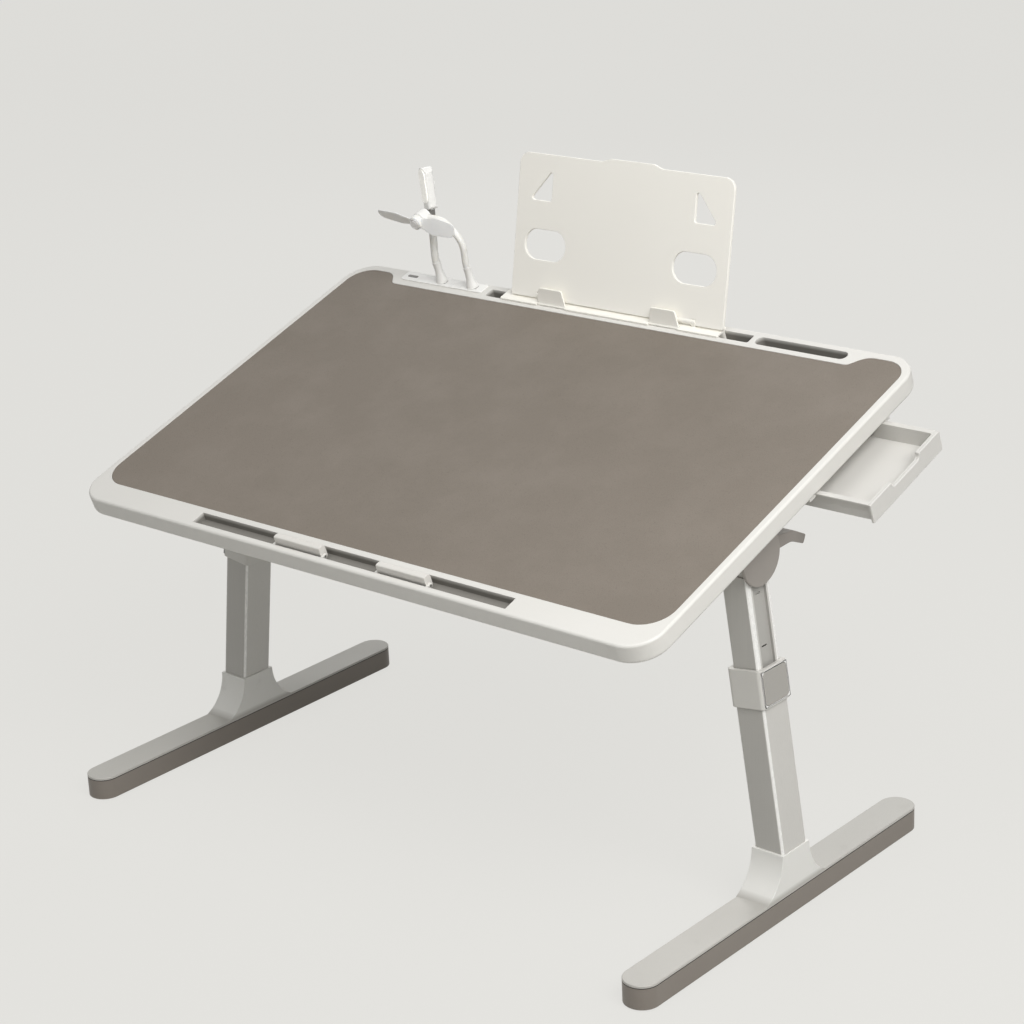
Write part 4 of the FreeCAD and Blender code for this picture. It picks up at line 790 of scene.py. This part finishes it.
def fan_details():
    """Stepped cap on the rotor's hub and a ring of vents behind the motor."""
    hub = BOARD.inverted() @ joint_place("fan_spin")
    lying = (math.pi / 2, 0.0, 0.0)
    cap = fresh("fan_cap", bpy.ops.mesh.primitive_cylinder_add, vertices=48, radius=CAP_RADIUS,
                depth=CAP_THICKNESS, location=hub - Vector((0.0, ROTOR_HALF, 0.0)), rotation=lying)
    bpy.ops.object.transform_apply(location=False, rotation=True, scale=True)
    with editing(cap):
        choose(cap, lambda centre, normal: normal.y < -0.9)
        bpy.ops.mesh.inset(thickness=0.9 * MM, depth=0.0)
        bpy.ops.mesh.inset(thickness=0.25 * MM, depth=-0.45 * MM)
        bpy.ops.mesh.inset(thickness=0.9 * MM, depth=0.0)
        bpy.ops.mesh.inset(thickness=0.6 * MM, depth=0.7 * MM)
    rounded(cap, 0.12 * MM)
    done(cap, "fan_rotor", "blade", BOARD, TRIM)
    vent = fresh("fan_vent", bpy.ops.mesh.primitive_cube_add, size=1.0, location=(0.0, 0.0, 0.0))
    vent.scale = VENT_SIZE
    bpy.ops.object.transform_apply(location=False, rotation=False, scale=True)
    rounded(vent, 0.2 * MM)
    back = hub + Vector((0.0, MOTOR_BEHIND_HUB, 0.0))
    ring = []
    for i in range(VENTS):
        opening = twin(vent, "fan_vent_%d" % i)
        turn = Matrix.Rotation(2 * math.pi * i / VENTS, 4, "Y")
        opening.matrix_world = Matrix.Translation(back) @ turn @ Matrix.Translation((0.0, 0.0, VENT_RING))
        ring.append(opening)
    bpy.data.objects.remove(vent)
    done(joined("fan_vents", ring), "tabletop", "dark_window", BOARD)


# ---------------------------------------------------------------- stage
BACKDROP = colour(235, 234, 230)
FLOOR_EVENNESS = 0.85        # share of the floor that seems evenly lit
FLOOR_SIZE = 60.0
SKY_STRENGTH = 0.32
AIM = Vector((0.0, 0.0, 0.3))            # what the lamps face
LAMPS = (                    # name, place, width, watts
    ("key", (1.7, -0.6, 1.95), 1.4, 45.0),
    ("top_front", (-0.2, -1.5, 3.1), 1.6, 20.0),
    ("rear", (-1.6, 2.4, 1.7), 1.6, 12.0),
)


def seen(look, evenness):
    """Share of a backdrop that shows its own tone: to the eye, in reflections and through glass."""
    share = look.node("LightPath", {}, {}, "Is Camera Ray")
    for ray in ("Is Glossy Ray", "Is Transmission Ray"):
        share = share + look.node("LightPath", {}, {}, ray)
    return share * evenness


def floor():
    """Wide pale floor that seems evenly lit to the eye but still takes a faint shadow."""
    plane = fresh("floor", bpy.ops.mesh.primitive_plane_add, size=FLOOR_SIZE)
    look = Look("floor_paint")
    haze = look.noise(0.6, 2.0)
    tone = look.mix(haze, BACKDROP, colour(233, 232, 228))
    look.feed(Base_Color=look.mix(haze, colour(194, 193, 189), colour(188, 187, 183)))
    look.feed(Roughness=0.9, Specular_IOR_Level=0.1)
    glow = look.node("Emission", {}, {"Color": tone, "Strength": 1.0})
    lit = Sock(look, look.shader.outputs["BSDF"])
    both = look.node("MixShader", {}, {0: seen(look, FLOOR_EVENNESS), 1: lit, 2: glow})
    look.tree.links.new(both.socket, look.tree.nodes["Material Output"].inputs["Surface"])
    plane.data.materials.append(look.material)


def lights():
    """Even sky light, a soft lamp high on the right, and two weak ones from the front and the rear."""
    world = bpy.data.worlds.new("sky")
    bpy.context.scene.world = world
    look = Sky(world)
    light = look.node("Background", {}, {"Color": colour(250, 250, 250), "Strength": SKY_STRENGTH})
    show = look.node("Background", {}, {"Color": colour(224, 224, 220), "Strength": 1.0})
    both = look.node("MixShader", {}, {0: seen(look, 1.0), 1: light, 2: show})
    look.tree.links.new(both.socket, look.tree.nodes["World Output"].inputs["Surface"])
    for name, place, size, power in LAMPS:
        lamp = bpy.data.lights.new(name, "AREA")
        lamp.size = size
        lamp.energy = power
        holder = bpy.data.objects.new(name, lamp)
        holder.location = place
        holder.rotation_euler = (AIM - Vector(place)).to_track_quat("-Z", "Y").to_euler()
        bpy.context.scene.collection.objects.link(holder)


def camera():
    """Long lens from the front right, looking down."""
    place = Vector((1.74364, -1.91048, 1.28451))
    right = Vector((0.75917, 0.64932, -0.04519))
    up = Vector((-0.18785, 0.28505, 0.93992))
    back = Vector((0.62319, -0.70508, 0.33838))
    lens = bpy.data.cameras.new("camera")
    lens.sensor_width = 36.0
    lens.lens = 89.62
    lens.clip_end = 200.0
    holder = bpy.data.objects.new("camera", lens)
    turn = Matrix((right, up, back)).transposed().to_4x4()
    holder.matrix_world = Matrix.Translation(place) @ turn
    bpy.context.scene.collection.objects.link(holder)
    bpy.context.scene.camera = holder


dress_nodes()
softened()
for node in ("cover_screws", "runner_screws", "hinge_plate_screws"):
    crossed_screws(node, "tabletop", "screw")
for side in SIDES:
    socket_bolts(side)
    button_trim(side)
lamp_details()
fan_details()
floor()
lights()
camera()
bpy.context.scene.view_settings.view_transform = "Standard"
